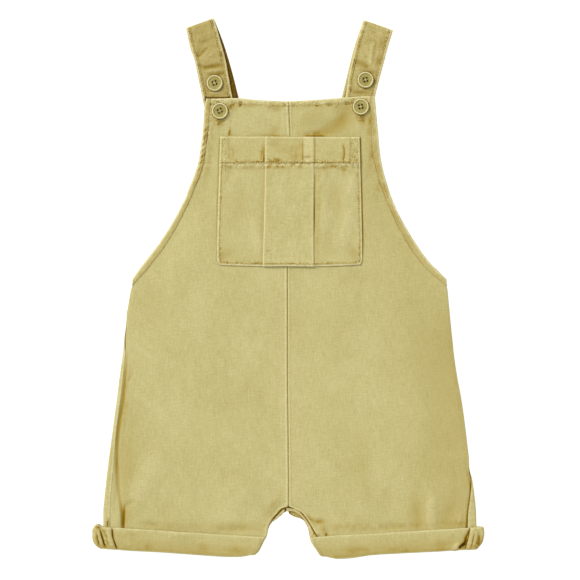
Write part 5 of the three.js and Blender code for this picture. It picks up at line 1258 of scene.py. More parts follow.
def make_cuff(side, which):
    sgn, rad, inner, outer, seam = cuff_lines(side)
    mid = (CUFF_FRONT + CUFF_BACK) / 2
    nominal = lambda f: sgn * lerp(28, 190, f)
    path = []      # x0, z, nx, nz, function of y, distance from the near end and the far end of the piece
    if which == "back":
        for k in range(0, 10):
            a = math.pi * 0.98 * k / 10
            path.append((nominal(0), mid + rad * math.cos(a), -sgn * math.sin(a), math.cos(a), lambda y, a=a: inner(y) - sgn * rad * math.sin(a), "turn"))
        for f in np.linspace(0, 1, 90):
            path.append((nominal(f), CUFF_BACK, 0.0, -1.0, lambda y, f=f: lerp(inner(y), outer(y), f), "under"))
        for k in range(1, 15):
            a = math.pi * k / 14
            path.append((nominal(1), mid - rad * math.cos(a), sgn * math.sin(a), -math.cos(a), lambda y, a=a: outer(y) + sgn * rad * math.sin(a), "turn"))
        for f in list(np.linspace(0.03, 0.96, 40)) + [0.975, 0.985, 0.993, 1.0]:
            path.append((lerp(nominal(1), nominal(0.92), f), CUFF_FRONT, 0.0, 1.0, lambda y, f=f: lerp(outer(y), seam(y) + sgn * (GAP - SLIT) * 0.4, f), "lap"))
    else:
        first = [0, 0.0015, 0.0035, 0.006, 0.01, 0.015, 0.022]
        for f in first + list(np.linspace(0.03, 0.97, 170)) + [0.978, 0.985, 0.99, 0.994, 0.997, 1.0]:
            path.append((sgn * lerp(28, 178, f), CUFF_FRONT, 0.0, 1.0, lambda y, f=f: lerp(inner(y) + sgn * GAP * 0.3, seam(y) - sgn * 0.1 * f, f), "front"))
    tops = [float(look(CUFF_TOP[side], "x", m[0], "y")) for m in path]
    foots = [float(look(CUFF_FOLD[side], "x", m[0], "y")) for m in path]
    sections = [fold_section(a, b) for a, b in zip(tops, foots)]
    n, c = len(path), len(sections[0])
    P, N, H, D = np.zeros((c, n, 3)), np.zeros((c, n, 3)), np.zeros((c, n)), np.zeros((c, n))
    for j, (m, sec) in enumerate(zip(path, sections)):
        for i, (o, y, no, ny, h, d) in enumerate(sec):
            P[i, j] = (float(m[4](y)) + m[2] * o, y, m[1] + m[3] * o)
            N[i, j] = (m[2] * no, ny, m[3] * no)
            H[i, j], D[i, j] = h, d
    N /= np.maximum(np.linalg.norm(N, axis=-1, keepdims=True), 1e-9)
    along = np.concatenate([np.zeros((c, 1)), np.cumsum(np.linalg.norm(np.diff(P, axis=1), axis=-1), axis=1)], axis=1)
    rest = along[:, -1:] - along
    x, y = P[..., 0], P[..., 1]
    outer_leaf = (np.arange(c) < c - 18)[:, None] * np.ones((1, n))
    shown = np.array([1.0 if m[5] in ("front", "lap") else 0.0 for m in path])[None, :]
    below = np.array([1.0 if m[5] == "under" else 0.0 for m in path])[None, :]
    relief = folds(CUFF_FOLDS[side], x, y) * shown * (which == "front")
    relief = relief + folds(CUFF_ENDS[side], x, y) * (1 - below)
    relief = relief + 0.16 * fbm(x / 24, y / 16, 151 + int(sgn)) * shown + 0.07 * noise(x / 7, y / 5, 153) * (1 - below)
    relief = relief * smooth(D / 1.6) * (0.55 + 0.45 * outer_leaf)
    relief = relief - np.maximum(0.25 * bell(x - sgn * 90, 7) + 0.2 * bell(x - sgn * 148, 8), 0) * below * smooth(D / 4) * outer_leaf
    relief = np.where(below > 0, np.minimum(relief, 0), relief)
    near = rounding(along, 0.2, 0.85)
    ends = near * rounding(rest, 0.8, 0.3)
    valley = 0.22 * bell(rest, 0.8)
    face = P + N * (H * ends + (relief - valley * outer_leaf) * 1.0)[..., None]
    face[..., 2] = np.maximum(face[..., 2], 0.0)
    lining = P - N * (H * ends)[..., None]
    lining[..., 2] = np.maximum(lining[..., 2], 0.02)
    # the leaf's free edge wanders a little
    face[..., 1] += (0.22 * noise(x / 9, 0, 161 + int(sgn)) + 0.12 * noise(x / 3.5, 0, 163)) * bell(D, 2.0) * (1 - below)
    if side == "right":
        face[..., 1] += 2.4 * bell(x + 190.0, 3.4) * bell(D, 3.5)
    else:
        face[..., 1] -= 1.6 * bell(x - 168.0, 3.0) * smooth((D - 18) / 5) * outer_leaf
    # painted shade: dark at the front's end beside the lap and in the grooves; darker towards the bottom fold from dye
    # and painted shade
    dye = 0.9 * bell(rest, 0.9) * (which == "front") + smooth(-relief / 1.3 - 0.2) * (1 - below) + (0.2 * smooth((D - 4) / 14) + 0.22 * smooth((D - 17) / 5)) * outer_leaf
    dye = dye + 0.08 * outer_leaf * smooth((D - 2) / 3) + stains_and_shade(CUFF_STAINS_AND_SHADE[side], x, y) * shown
    # wear and painted highlight on the top edge and the crests
    wear_and_highlight = 0.42 * bell(D - 0.8, 0.8) + 0.3 * smooth(relief / 0.4 - 0.3) * (1 - below)
    cloth = np.stack([x * 1.0 + 7, D - 3 * sgn, np.full_like(x, 80 + 5 * sgn)], -1)
    bunched = smooth((np.abs(x) - 176) / 4)
    drawn = (0.3 * bunched + 0.15 * bell(D, 3.0) + 0.18 * smooth((D - 15) / 6) * outer_leaf + 0.04) * (1 - below)
    # painted shade in the pinch lines, near-black in the hole
    dye = np.clip(dye, 0, 1) + pinched(CUFF_PITS[side], x, y) * (1 - below) * (P[..., 2] > mid)
    ob = shell(f"cuff_{which}_{side}", face, lining, HEM_CLOTH if which == "back" else BODY_CLOTH, cloth, dye, np.clip(wear_and_highlight, 0, 1), drawn, rk=3, ck=3)
    remember(f"cuff_{which}_{side}", face)
    return ob


# ------------------------------------------------------------------ straps
STRAPS = {
    "right": {
        "rear": table("xl yl xr yr z", [
            (-60.4, 122, -29.5, 122, 2.6), (-63.6, 133, -32.8, 133, 2.6), (-65.2, 138.6, -34.4, 138.6, 2.55), (-67.6, 147, -36.8, 147, 1.0),
            (-73.0, 166, -42.2, 166, 1.0), (-79.9, 189.2, -49.1, 189.2, 1.0), (-86.4, 212, -54.8, 212, 1.0), (-94.2, 240, -63.6, 242, 1.0)]),
        "fold": (-102.3, 260.0, -74.3, 270.3, -0.345, 0.938),
        "front": table("xl yl xr yr", [
            (-97.4, 239, -66.4, 243), (-93.5, 228.2, -62.8, 230), (-90.0, 211.4, -59.6, 213), (-86.9, 197, -57.0, 198),
            (-84.3, 184, -54.0, 184), (-81.2, 171, -51.0, 171), (-77.6, 159, -48.6, 159)]),
    },
    "left": {
        "rear": table("xl yl xr yr z", [
            (35.9, 122, 66.9, 122, 2.6), (38.7, 133, 69.7, 133, 2.6), (40.1, 138.6, 71.1, 138.6, 2.55), (42.2, 147, 73.2, 147, 1.0),
            (47.4, 166, 78.2, 166, 1.0), (53.6, 189.8, 84.6, 189.8, 1.0), (58.6, 210, 89.4, 210, 1.0), (66.4, 241, 97.6, 240, 1.0)]),
        "fold": (75.7, 268.4, 105.2, 258.1, 0.33, 0.944),
        "front": table("xl yl xr yr", [
            (67.6, 243, 99.4, 239), (64.0, 228, 96.4, 227.5), (60.2, 210, 91.6, 210), (57.9, 194, 87.6, 194),
            (55.6, 184, 85.2, 184), (52.2, 171, 82.0, 171), (49.6, 159, 78.8, 159)]),
    },
}
STRAP_FOLDS = {
    "right": [
        (-85, 236, 46, 26, 1.5, -0.45, 0), (-78, 233, 46, 24, 2.2, 0.35, 0), (-76, 221.5, 8, 26, 2.0, -0.55, 0), (-72, 214, 4, 26, 1.6, -0.5, 0), (-74, 218, 6, 22, 1.8, 0.3, 0),
        (-80, 248, 20, 24, 2.4, -0.25, 0), (-60, 207, 60, 18, 3, 0.25, 0), (-72, 195.4, 3, 24, 1.6, 0.3, 0), (-58, 196, 80, 20, 3, -0.3, 0),
    ],
    "left": [
        (83, 234, 82, 34, 1.7, 0.6, 0), (86.5, 234, 82, 30, 1.4, -0.4, 0), (74, 224, -20, 24, 2.2, -0.5, 0), (80, 216, -12, 24, 2.2, -0.45, 0), (90, 226, 70, 14, 1.6, -0.4, 0),
        (88, 246, -18, 24, 2.6, -0.25, 0), (66, 206, 70, 16, 3, 0.25, 0), (74, 195.5, -3, 24, 1.4, -0.3, 0), (90, 200, 84, 24, 3, 0.25, 0),
    ],
}


def make_strap(side):
    spec, sgn = STRAPS[side], SIGN[side]
    rear, front = spec["rear"], spec["front"]
    xl, yl, xr, yr, nx, ny = spec["fold"]
    r = (STRAP_FRONT - STRAP_REAR) / 2
    back = r + STRAP / 2
    rows = []   # left x y, right x y, z, fold angle

    def run(t, zs, angle, extra):
        L = {k: list(t[k]) for k in ("xl", "yl", "xr", "yr")}
        base = (xl - nx * back, yl - ny * back, xr - nx * back, yr - ny * back)
        z = list(zs)
        for k, v in zip(("xl", "yl", "xr", "yr"), base):
            L[k] = L[k] + [v] if extra == "end" else [v] + L[k]
        z = z + [STRAP_REAR] if extra == "end" else [STRAP_FRONT] + z
        mx, my = (np.array(L["xl"]) + L["xr"]) / 2, (np.array(L["yl"]) + L["yr"]) / 2
        s_at = np.concatenate([[0], np.cumsum(np.hypot(np.diff(mx), np.diff(my)))])
        end = s_at[-1]
        s = np.concatenate([[0, 0.3, 0.7, 1.2], np.arange(2, end - 1.0, 1.25), [end]]) if extra == "end" else np.concatenate([np.arange(0, end - 1.6, 1.1), [end - 1.2, end - 0.7, end - 0.3, end]])
        vals = {k: curve(s_at, L[k], s) for k in L}
        zz = curve(s_at, z, s)
        for i in range(len(s)):
            rows.append((vals["xl"][i], vals["yl"][i], vals["xr"][i], vals["yr"][i], zz[i], angle, min(s[i], 99.0) if extra == "end" else min(end - s[i], 99.0)))

    run(rear, rear["z"], 0.0, "end")
    for k in range(1, 20):
        a = math.pi * k / 20
        out = r * math.sin(a) - back
        rows.append((xl + nx * out, yl + ny * out, xr + nx * out, yr + ny * out, STRAP_REAR + r * (1 - math.cos(a)), a, 99.0))
    run(front, [STRAP_FRONT] * len(front["xl"]), math.pi, "start")
    rows = np.array(rows)
    width = np.hypot(rows[:, 2] - rows[:, 0], rows[:, 3] - rows[:, 1])
    p = spread(width, [0, 0.18, 0.45, 0.8, 1.3, 1.9, 2.6, 3.3, 4.0, 5.0], [0, 0.18, 0.45, 0.8, 1.3, 1.9, 2.6, 3.3, 4.0, 5.0], 18)
    share = p / width[:, None]
    x, y = lerp(rows[:, 0:1], rows[:, 2:3], share), lerp(rows[:, 1:2], rows[:, 3:4], share)
    a = rows[:, 5:6] + 0 * x
    N = np.stack([-nx * np.sin(a), -ny * np.sin(a), np.cos(a)], -1)
    d = np.minimum(p, width[:, None] - p)
    end = rows[:, 6:7] + 0 * x
    is_front = (a > 3).astype(float)
    length = np.concatenate([[0], np.cumsum(np.hypot(np.diff(rows[:, 0] + rows[:, 2]), np.diff(rows[:, 1] + rows[:, 3])) / 2)])[:, None] + 0 * x
    h = STRAP / 2 * rounding(d, 1.0, 0.2) * rounding(end, 0.9, 0.3)
    groove = -0.22 * bell(d - 3.3, 0.6)
    crease = folds(STRAP_FOLDS[side], x, y) * is_front
    gathers = 0.26 * ruche(y, d - 3.3, 2.9, 2.6, 171 + int(sgn)) + 0.12 * noise(x / 6, y / 6, 173)
    pillow = 0.16 * bell(d - 1.7, 1.1) + 0.12 * bell(d - 9, 5)
    relief = groove + gathers + pillow
    under_bib = smooth((191 - y) / 3) * is_front
    near_bib = 1 - under_bib
    z = rows[:, 4:5] + 0 * x
    P = np.stack([x, y, z], -1)
    rear_edge = (1 - is_front) * smooth((math.pi / 2 - a) / 1.0)
    out_relief = np.where(is_front > 0, (relief + crease * 0.8) * near_bib, -np.abs(gathers) * 0.4 + 0.5 * groove)
    move = np.where(is_front > 0, crease * 0.3 * near_bib, 0)
    face = P - N * (h + out_relief + move)[..., None]
    inner = P + N * (h + np.where(is_front > 0, -0.1 * near_bib, 0.0) + (1 - is_front) * 0.35 * groove)[..., None]
    face[..., 2] = np.maximum(face[..., 2], 0.0)
    # dye and painted shade along the stitch groove and in the gathers
    dye = (0.75 * bell(d - 3.3, 0.75) + 0.3 * smooth(-(gathers + crease) / 0.3 - 0.15)) * (0.35 + 0.65 * is_front)
    # painted shadow: a dark ring round each button, offset towards the lower right
    for bx, by, _, _ in BUTTONS.values():
        dye = dye + 0.8 * bell(np.hypot(x - bx - 0.35, y - by + 0.35) - 8.2, 0.6) * is_front
    # painted shadow along the strap's foot just above the bib's edge; dye and painted shade in the patches, and the
    # right strap darker overall
    dye = dye + (1.2 if side == "right" else 0.7) * smooth((191.7 - y) / 1.1) * is_front + (0.15 if side == "right" else 0.02) + stains_and_shade(STRAP_STAINS_AND_SHADE[side], x, y) * is_front * 0.7
    # wear and painted highlight on the edges and crests
    wear_and_highlight = 0.85 * bell(d - 0.9, 1.0) + 0.3 * smooth((relief + crease) / 0.3 - 0.4)
    cloth = np.stack([x, length, np.full_like(x, 100 + 5 * sgn)], -1)
    # painted shade: the rear run's upper face, where it lies in the shade between the runs, is painted dark, near-black
    # brown on the right strap
    shade = 1.22 + 0 * x if side == "right" else lerp(0.25, 1.0, smooth((d - 2.4) / 1.4))
    drawn = (0.12 + 0.8 * bell(d - 2.4, 2.3)) * is_front + 0.4 * (1 - is_front) * bell(d - 2.4, 2.3)
    R, C = face.shape[:2]
    verts = np.concatenate([face.reshape(-1, 3), inner.reshape(-1, 3)])
    top = np.arange(R * C).reshape(R, C)
    low = top + R * C
    q = [np.stack([top[:-1, :-1], top[:-1, 1:], top[1:, 1:], top[1:, :-1]], -1).reshape(-1, 4),
         np.stack([low[:-1, :-1], low[1:, :-1], low[1:, 1:], low[:-1, 1:]], -1).reshape(-1, 4)]
    rim = []
    for line_a, line_b, flip in ((top[0], low[0], False), (top[-1], low[-1], True), (top[:, 0], low[:, 0], True), (top[:, -1], low[:, -1], False)):
        quad = np.stack([line_a[:-1], line_b[:-1], line_b[1:], line_a[1:]], -1)
        rim.append(quad[:, ::-1] if flip else quad)
    # the inner face takes the painted shade, and on the left strap a paler rim of wear and painted highlight
    ob = mesh_of(f"strap_{side}", verts, np.concatenate(q + rim), np.zeros((0, 3)), STRAP_CLOTH,
                 np.concatenate([cloth.reshape(-1, 3)] * 2), np.concatenate([np.clip(dye, 0, 1.5).ravel(), shade.ravel()]),
                 np.concatenate([np.clip(wear_and_highlight, 0, 1).ravel(), (0 * wear_and_highlight if side == "right" else 0.6 * bell(d - 1.0, 1.0)).ravel()]),
                 np.concatenate([drawn.ravel(), 0.5 * drawn.ravel()]))
    front_rows = np.where((rows[:, 5] > 3) & (rows[:, 1] > 189.5))[0]
    remember(f"strap_{side}", face[front_rows])
    k = 7     # the stitch line's column from each edge
    PATHS[f"strap_{side}_a"] = face[front_rows, k]
    PATHS[f"strap_{side}_b"] = face[front_rows, -1 - k]
    return ob


# ------------------------------------------------------------------ pocket
POCKET = table("y xl xr", [
    (151.0, -67.8, 71.6), (146, -68.0, 71.8), (138, -68.3, 71.9), (130, -68.6, 72.2), (124.8, -68.8, 72.4), (124.2, -68.8, 72.4),
    (108, -69.3, 72.9), (92, -69.8, 73.3), (74, -70.3, 73.7), (56, -70.8, 74.1), (40, -71.0, 74.3), (28, -70.8, 74.3), (23.6, -69.0, 72.6)])
PLEAT_LEFT = table("y x", [(151, -22.3), (22, -25.5)])
PLEAT_RIGHT = 26.0
POCKET_FOLDS = [
    (-46, 84, 84, 60, 9, -0.4, 2), (-34, 56, 104, 60, 6, 0.45, 0), (48, 88, 96, 60, 6, -0.6, -2), (58, 60, 80, 60, 6, 0.7, 0), (36, 74, 88, 70, 5, 0.45, 0), (63, 104, 76, 34, 3.5, 0.5, 0),
    (2, 84, 92, 80, 8, 0.3, 3), (-60, 110, 60, 26, 4, -0.3, 0), (58, 114, 118, 30, 4, -0.35, 0), (-50, 36, 20, 40, 5, -0.25, 0),
    (48, 36, -14, 40, 5, -0.25, 0), (0, 40, 4, 40, 5, 0.22, 0), (66, 96, 84, 34, 2.4, 0.25, 0), (34, 108, 64, 34, 3, 0.3, 2), (-8, 62, 58, 50, 6, -0.25, 2),
    (14, 96, 66, 46, 4.5, 0.4, 0), (-38, 100, 98, 40, 4, 0.35, 0), (40, 42, 74, 40, 4, -0.4, 0), (4, 108, 60, 30, 3.5, -0.3, 0), (-12, 92, 58, 44, 4, 0.3, 0), (18, 60, 70, 50, 4.5, -0.3, 0),
]
HEM_FOLDS = [
    (56.2, 135.2, -89, 24, 1.1, -0.5, -2.6), (52.0, 140, 80, 20, 1.8, 0.3, 0), (12, 142, 60, 14, 3, -0.25, 0), (-46, 139, 84, 20, 5, -0.22, 0),
    (-10, 136, 20, 18, 3, 0.2, 0), (64, 134, 40, 12, 2, -0.3, 0), (36, 137, 96, 16, 3, 0.22, 0), (20, 130.5, 0, 14, 0.7, -0.35, 0),
]


def pocket_grid(y, x_from, x_to, cols):
    f = np.asarray(cols)
    return lerp(np.asarray(x_from)[:, None], np.asarray(x_to)[:, None], f[None, :])


def edge_steps(width, step, fine=(0, 0.2, 0.5, 0.9, 1.4, 2.0, 2.7, 3.5)):
    n = max(int((width - 2 * fine[-1]) / step), 4)
    return spread(width, list(fine), list(fine), n) / width


def make_pocket_panel():
    y_top, y_low = 124.2 + 0.45, 23.0
    ys = y_low + (y_top - y_low) * edge_steps(y_top - y_low, 1.35)[::-1]
    xl, xr = look(POCKET, "y", ys, "xl"), look(POCKET, "y", ys, "xr")
    cols = edge_steps(142.0, 1.25)
    x = pocket_grid(ys, xl, xr, cols)
    y = ys[:, None] + 0 * x
    share = (x - xl[:, None]) / (xr - xl)[:, None]
    low = smooth((42 - y) / 20)
    y = y - 1.7 * np.sin(math.pi * share) * low + 0.35 * low * noise(x / 26, 0, 181)
    d_l, d_r, d_b, d_t = x - xl[:, None], xr[:, None] - x, ys[:, None] - y_low + 0 * x, y_top - ys[:, None] + 0 * x
    d = np.minimum(np.minimum(d_l, d_r), d_b)
    base = panel_height(x, y) + CLOTH / 2
    lift = 0.06 + (ON_PANEL - 0.06) * smooth((d - 0.5) / 5)
    z = base + lift + CLOTH / 2
    under_pleat = smooth((x - look(PLEAT_LEFT, "y", y, "x") - 1.0) / 2) * smooth((PLEAT_RIGHT - 1.0 - x) / 2)
    side_d = np.minimum(d_l, d_r)
    fold = folds(POCKET_FOLDS, x, y) + 0.2 * fbm(x / 34, y / 42, 191)
    fold = fold * (1 - under_pleat) * smooth(d / 5)
    relief = 0.26 * bell(d - 1.0, 0.9) - 0.2 * bell(d - 2.3, 0.45) + 0.24 * ruche(np.where(d_b < np.minimum(d_l, d_r), x, y), d - 2.6, 3.0, 2.4, 193)
    relief += 0.34 * ruche(x + 0.7 * d_t, d_t - 0.5, 2.8, 4.0, 195) - 0.3 * np.maximum(noise(x / 6.5, 0, 199) + 0.2, 0) * bell(d_t - 4.0, 1.3) * smooth(side_d / 6)
    relief += 0.06 * noise(x / 2.4, y / 3.2, 197) + 0.5 * bell(d_t - 0.6, 3.4)
    relief = relief * (1 - under_pleat)
    h = CLOTH / 2 * rounding(d, 0.85, 0.15)
    face = np.stack([x, y, z + np.maximum(fold, -0.3) + h + relief - 0.35 * under_pleat], -1)
    under = np.stack([x, y, z - h - 0.02 + np.maximum(fold, 0) * 0.7], -1)
    # dye and painted shade: in the troughs, along the stitches and the edge, and a painted shadow beside the pleat's
    # folds
    dye = 0.5 * smooth(-relief / 0.25 - 0.2) + 0.62 * bell(d - 2.3, 0.75) + 0.5 * bell(d, 0.35) + 0.12 * smooth(-fold / 0.4 - 0.2)
    dye += 0.5 * smooth(1.6 * noise(x / 6.5, 0, 199) + 0.35) * bell(d_t - 3.6 + 1.3 * noise(x / 4.2, 0, 198), 0.55) + (0.3 + 1.7 * smooth((116 - y) / 5) * smooth((y - 44) / 34)) * bell(x - PLEAT_RIGHT - 0.5, 0.55) + 0.2 * bell(x - look(PLEAT_LEFT, "y", y, "x") + 0.8, 1.2) + stains_and_shade(POCKET_STAINS_AND_SHADE, x, y)
    # wear and painted highlight on the rim and the crests
    wear_and_highlight = 0.85 * bell(d - 0.95, 0.8) + 0.2 * smooth(fold / 0.4 - 0.3) + 0.3 * smooth(0.6 + 1.2 * noise(x / 3.0 + 0.25 * d_t, 0, 196)) * bell(d_t - 1.8, 1.2)
    cloth = np.stack([x * 1.002 + 300, y, np.full_like(x, 120.0)], -1)
    drawn = 0.8 * bell(d - 2.0, 2.6) + 0.9 * bell(d_t - 2.0, 3.0)
    ob = shell("pocket", face, under, BODY_CLOTH, cloth, np.clip(dye, 0, 1.6), np.clip(wear_and_highlight, 0, 1), drawn)
    remember("pocket", face)
    return ob


def make_pocket_pleat():
    y_top, y_low = 124.2 + 0.45, 23.0
    ys = y_low + (y_top - y_low) * edge_steps(y_top - y_low, 1.35)[::-1]
    xl, xr = look(PLEAT_LEFT, "y", ys, "x"), PLEAT_RIGHT + 0 * ys
    xl, xr = xl + 0.25 * noise(ys / 16, 0, 201), xr + 0.3 * noise(ys / 19, 0, 203)
    cols = edge_steps(50.0, 1.15)
    x = pocket_grid(ys, xl, xr, cols)
    y = ys[:, None] + 0 * x
    share = (x + 69) / 142.5
    low = smooth((42 - y) / 20)
    y = y - 1.7 * np.sin(math.pi * share) * low + 0.35 * low * noise(x / 26, 0, 181)
    d_l, d_r, d_b, d_t = x - xl[:, None], xr[:, None] - x, ys[:, None] - y_low + 0 * x, y_top - ys[:, None] + 0 * x
    d = np.minimum(d_l, d_r)
    # it hugs the pocket at its folds, most of all the left one, and stands off a little more at the right
    over = lerp(0.5, 0.9 + 0.9 * bell(y - 82, 34), smooth((share - 0.55) / 0.2))
    z = panel_height(x, y) + CLOTH / 2 + ON_PANEL + CLOTH + 0.04 + over * CLOTH / 2 * smooth(d / 1.4)
    fold = folds(POCKET_FOLDS, x, y) + 0.2 * fbm(x / 34, y / 42, 191)
    fold = np.maximum(fold * smooth(d / 4) * smooth(d_b / 4), -0.15)
    relief = 0.22 * bell(d_l - 0.9, 0.8) + 0.12 * bell(d_r - 0.9, 0.9) - 0.2 * bell(d_b - 2.3, 0.45) + 0.22 * bell(d_b - 1.0, 0.9)
    relief += 0.24 * ruche(x, d_b - 2.6, 3.0, 2.4, 193) + 0.34 * ruche(x + 0.7 * d_t, d_t - 0.5, 2.8, 4.0, 195) - 0.3 * np.maximum(noise(x / 6.5, 0, 199) + 0.2, 0) * bell(d_t - 4.0, 1.3)
    # the line pressed into it beside the left fold, low down
    pressed = bell(x + 16.6 - 0.02 * (y - 40), 0.6) * smooth((62 - y) / 8) * smooth((y - 25) / 3)
    relief += -0.1 * pressed + 0.06 * noise(x / 2.4, y / 3.2, 197)
    h = CLOTH / 2 * rounding(d, 0.9, 0.12) * rounding(d_b, 0.85, 0.2)
    face = np.stack([x, y, z + fold + h + relief], -1)
    under = np.stack([x, y, z - h + np.maximum(fold, 0) * 0.7], -1)
    # dye and painted shade: in the troughs, along the stitches, the pressed line and the edges
    dye = 0.5 * smooth(-relief / 0.25 - 0.2) + 0.75 * bell(d_b - 2.3, 0.75) + 0.1 * pressed + 0.5 * smooth(1.6 * noise(x / 6.5, 0, 199) + 0.35) * bell(d_t - 3.6 + 1.3 * noise(x / 4.2, 0, 198), 0.55) + 0.5 * bell(d, 0.3) + 0.12 * smooth(-fold / 0.4 - 0.2)
    dye += stains_and_shade(POCKET_STAINS_AND_SHADE[2:8], x, y)
    # wear and painted highlight on the folds' edges and the foot
    wear_and_highlight = 0.8 * bell(d_l - 0.9, 0.8) + 0.6 * bell(d_r - 0.9, 0.8) + 0.8 * bell(d_b - 0.95, 0.8) + 0.3 * smooth(0.6 + 1.2 * noise(x / 3.0 + 0.25 * d_t, 0, 196)) * bell(d_t - 1.8, 1.2)
    cloth = np.stack([x * 1.002 + 500, y, np.full_like(x, 125.0)], -1)
    drawn = 0.8 * bell(d_b - 2.0, 2.6) + 0.9 * bell(d_t - 2.0, 3.0) + 0.15 * bell(d_l - 1.5, 2.0)
    ob = shell("pocket_pleat", face, under, BODY_CLOTH, cloth, np.clip(dye, 0, 1), np.clip(wear_and_highlight, 0, 1), drawn)
    remember("pocket_pleat", face)
    return ob


def make_pocket_hem():
    y_top, y_low = 151.0, 124.8 - 0.1
    ys = y_low + (y_top - y_low) * edge_steps(y_top - y_low, 0.8)[::-1]
    xl, xr = look(POCKET, "y", ys, "xl"), look(POCKET, "y", ys, "xr")
    cols = edge_steps(140.0, 0.95)
    x = pocket_grid(ys, xl, xr, cols)
    y = ys[:, None] + 0 * x
    share = (x - xl[:, None]) / (xr - xl)[:, None]
    y = y + (0.35 * np.sin(math.pi * share * 1.3 + 0.4) + 0.2 * noise(x / 21, 0, 211)) * smooth((y - 132) / 18)
    d_l, d_r, d_b, d_t = x - xl[:, None], xr[:, None] - x, ys[:, None] - y_low + 0 * x, y_top - ys[:, None] + 0 * x
    side = np.minimum(d_l, d_r)
    left_fold, right_fold = look(PLEAT_LEFT, "y", y, "x"), PLEAT_RIGHT
    pleat = smooth((x - left_fold + 0.6) / 1.2) * smooth((right_fold + 0.8 - x) / 1.2)
    base = panel_height(x, y) + CLOTH / 2
    bottom = base + 0.06 + (ON_PANEL - 0.06) * smooth((side - 0.5) / 5)
    thick = 2.0 + 0.75 * pleat + 0.28 * smooth((x - 15.0) / 0.5) * smooth((26.3 - x) / 0.6)
    fold = folds(HEM_FOLDS, x, y) + 0.22 * fbm(x / 22, y / 14, 213)
    fold = fold * smooth(side / 4)
    relief = 0.12 * bell(side - 1.0, 0.9) - 0.18 * bell(side - 2.3, 0.45) * (1 - pleat) - 0.26 * bell(x - 15.0, 0.45)
    relief += -0.3 * bell(x - left_fold + 1.0, 0.6) + 0.25 * bell(x - left_fold - 0.7, 0.7) - 0.24 * bell(x - right_fold - 0.7, 0.6)
    relief += 0.3 * ruche(x, d_b - 0.5, 3.0, 5.0, 195) - 0.22 * bell(d_b, 0.9) * lerp(0.3, 1.0, pleat)
    relief += 0.12 * ruche(x, d_t, 4.0, 2.0, 217) + 0.06 * noise(x / 2.2, y / 2.6, 219)
    rnd = rounding(side, 0.9, 0.15) * rounding(d_t, 1.3, 0.2)
    face = np.stack([x, y, bottom + thick * (0.5 + 0.5 * rnd) + fold + relief], -1)
    under = np.stack([x, y, bottom + thick * (0.5 - 0.5 * rnd) + 0.01], -1)
    face[..., 2] = np.maximum(face[..., 2], under[..., 2] + 0.15)
    # dye and painted shade: along the bottom edge and its stitches, beside the folds and in the creases
    dye = 0.75 * bell(d_b - 0.5, 0.9) + 0.6 * bell(x + 59.3, 0.7) * smooth((y - 128) / 2) + 0.6 * bell(x - 62.0, 0.7) * smooth((y - 127) / 2) + 0.4 * smooth(-relief / 0.3 - 0.3) * smooth(d_b / 2) + 0.6 * bell(x - 15.0, 0.5) + 0.5 * bell(x - right_fold - 0.7, 0.5) + 0.35 * bell(side, 0.4)
    dye += 0.5 * smooth(-fold / 0.5 - 0.2) + 0.7 * bell(x - left_fold + 1.2, 0.8) * smooth((146 - y) / 8) + stains_and_shade(HEM_STAINS_AND_SHADE, x, y) + pinched(HEM_LINES, x, y) + 0.35 * bell(y - 125.4, 0.8) - 0.1
    # wear and painted highlight on the edges and the left fold's edge
    wear_and_highlight = 0.6 * bell(d_t - 0.8, 0.8) + 0.8 * bell(side - 0.9, 0.7) + 0.9 * bell(x - left_fold - 0.6, 0.7) + 0.35 * smooth((x - 15.4) / 0.5) * smooth((25.5 - x) / 0.6) + 0.2 * smooth(fold / 0.4 - 0.3)
    cloth = np.stack([x + 700, y, np.full_like(x, 130.0)], -1)
    drawn = 0.9 * bell(d_b - 0.5, 3.0) + 0.9 * smooth((13 - d_r) / 4) + 0.7 * smooth((8 - d_l) / 3) + 0.3 * bell(d_t - 1.5, 2.0) + 0.12
    ob = shell("pocket_hem", face, under, HEM_CLOTH, cloth, np.clip(dye, 0, 1), np.clip(wear_and_highlight, 0, 1), drawn)
    remember("pocket_hem", face)
    return ob


# ------------------------------------------------------------------ buttons
BUTTON_R, BUTTON_T, HOLE_R, HOLE_AT = 7.9, 2.8, 0.94, 2.2


def plain_mesh(name, verts, faces):
    me = bpy.data.meshes.new(name)
    me.from_pydata([tuple(v) for v in verts], [], faces)
    me.update()
    ob = bpy.data.objects.new(name, me)
    bpy.context.scene.collection.objects.link(ob)
    return ob


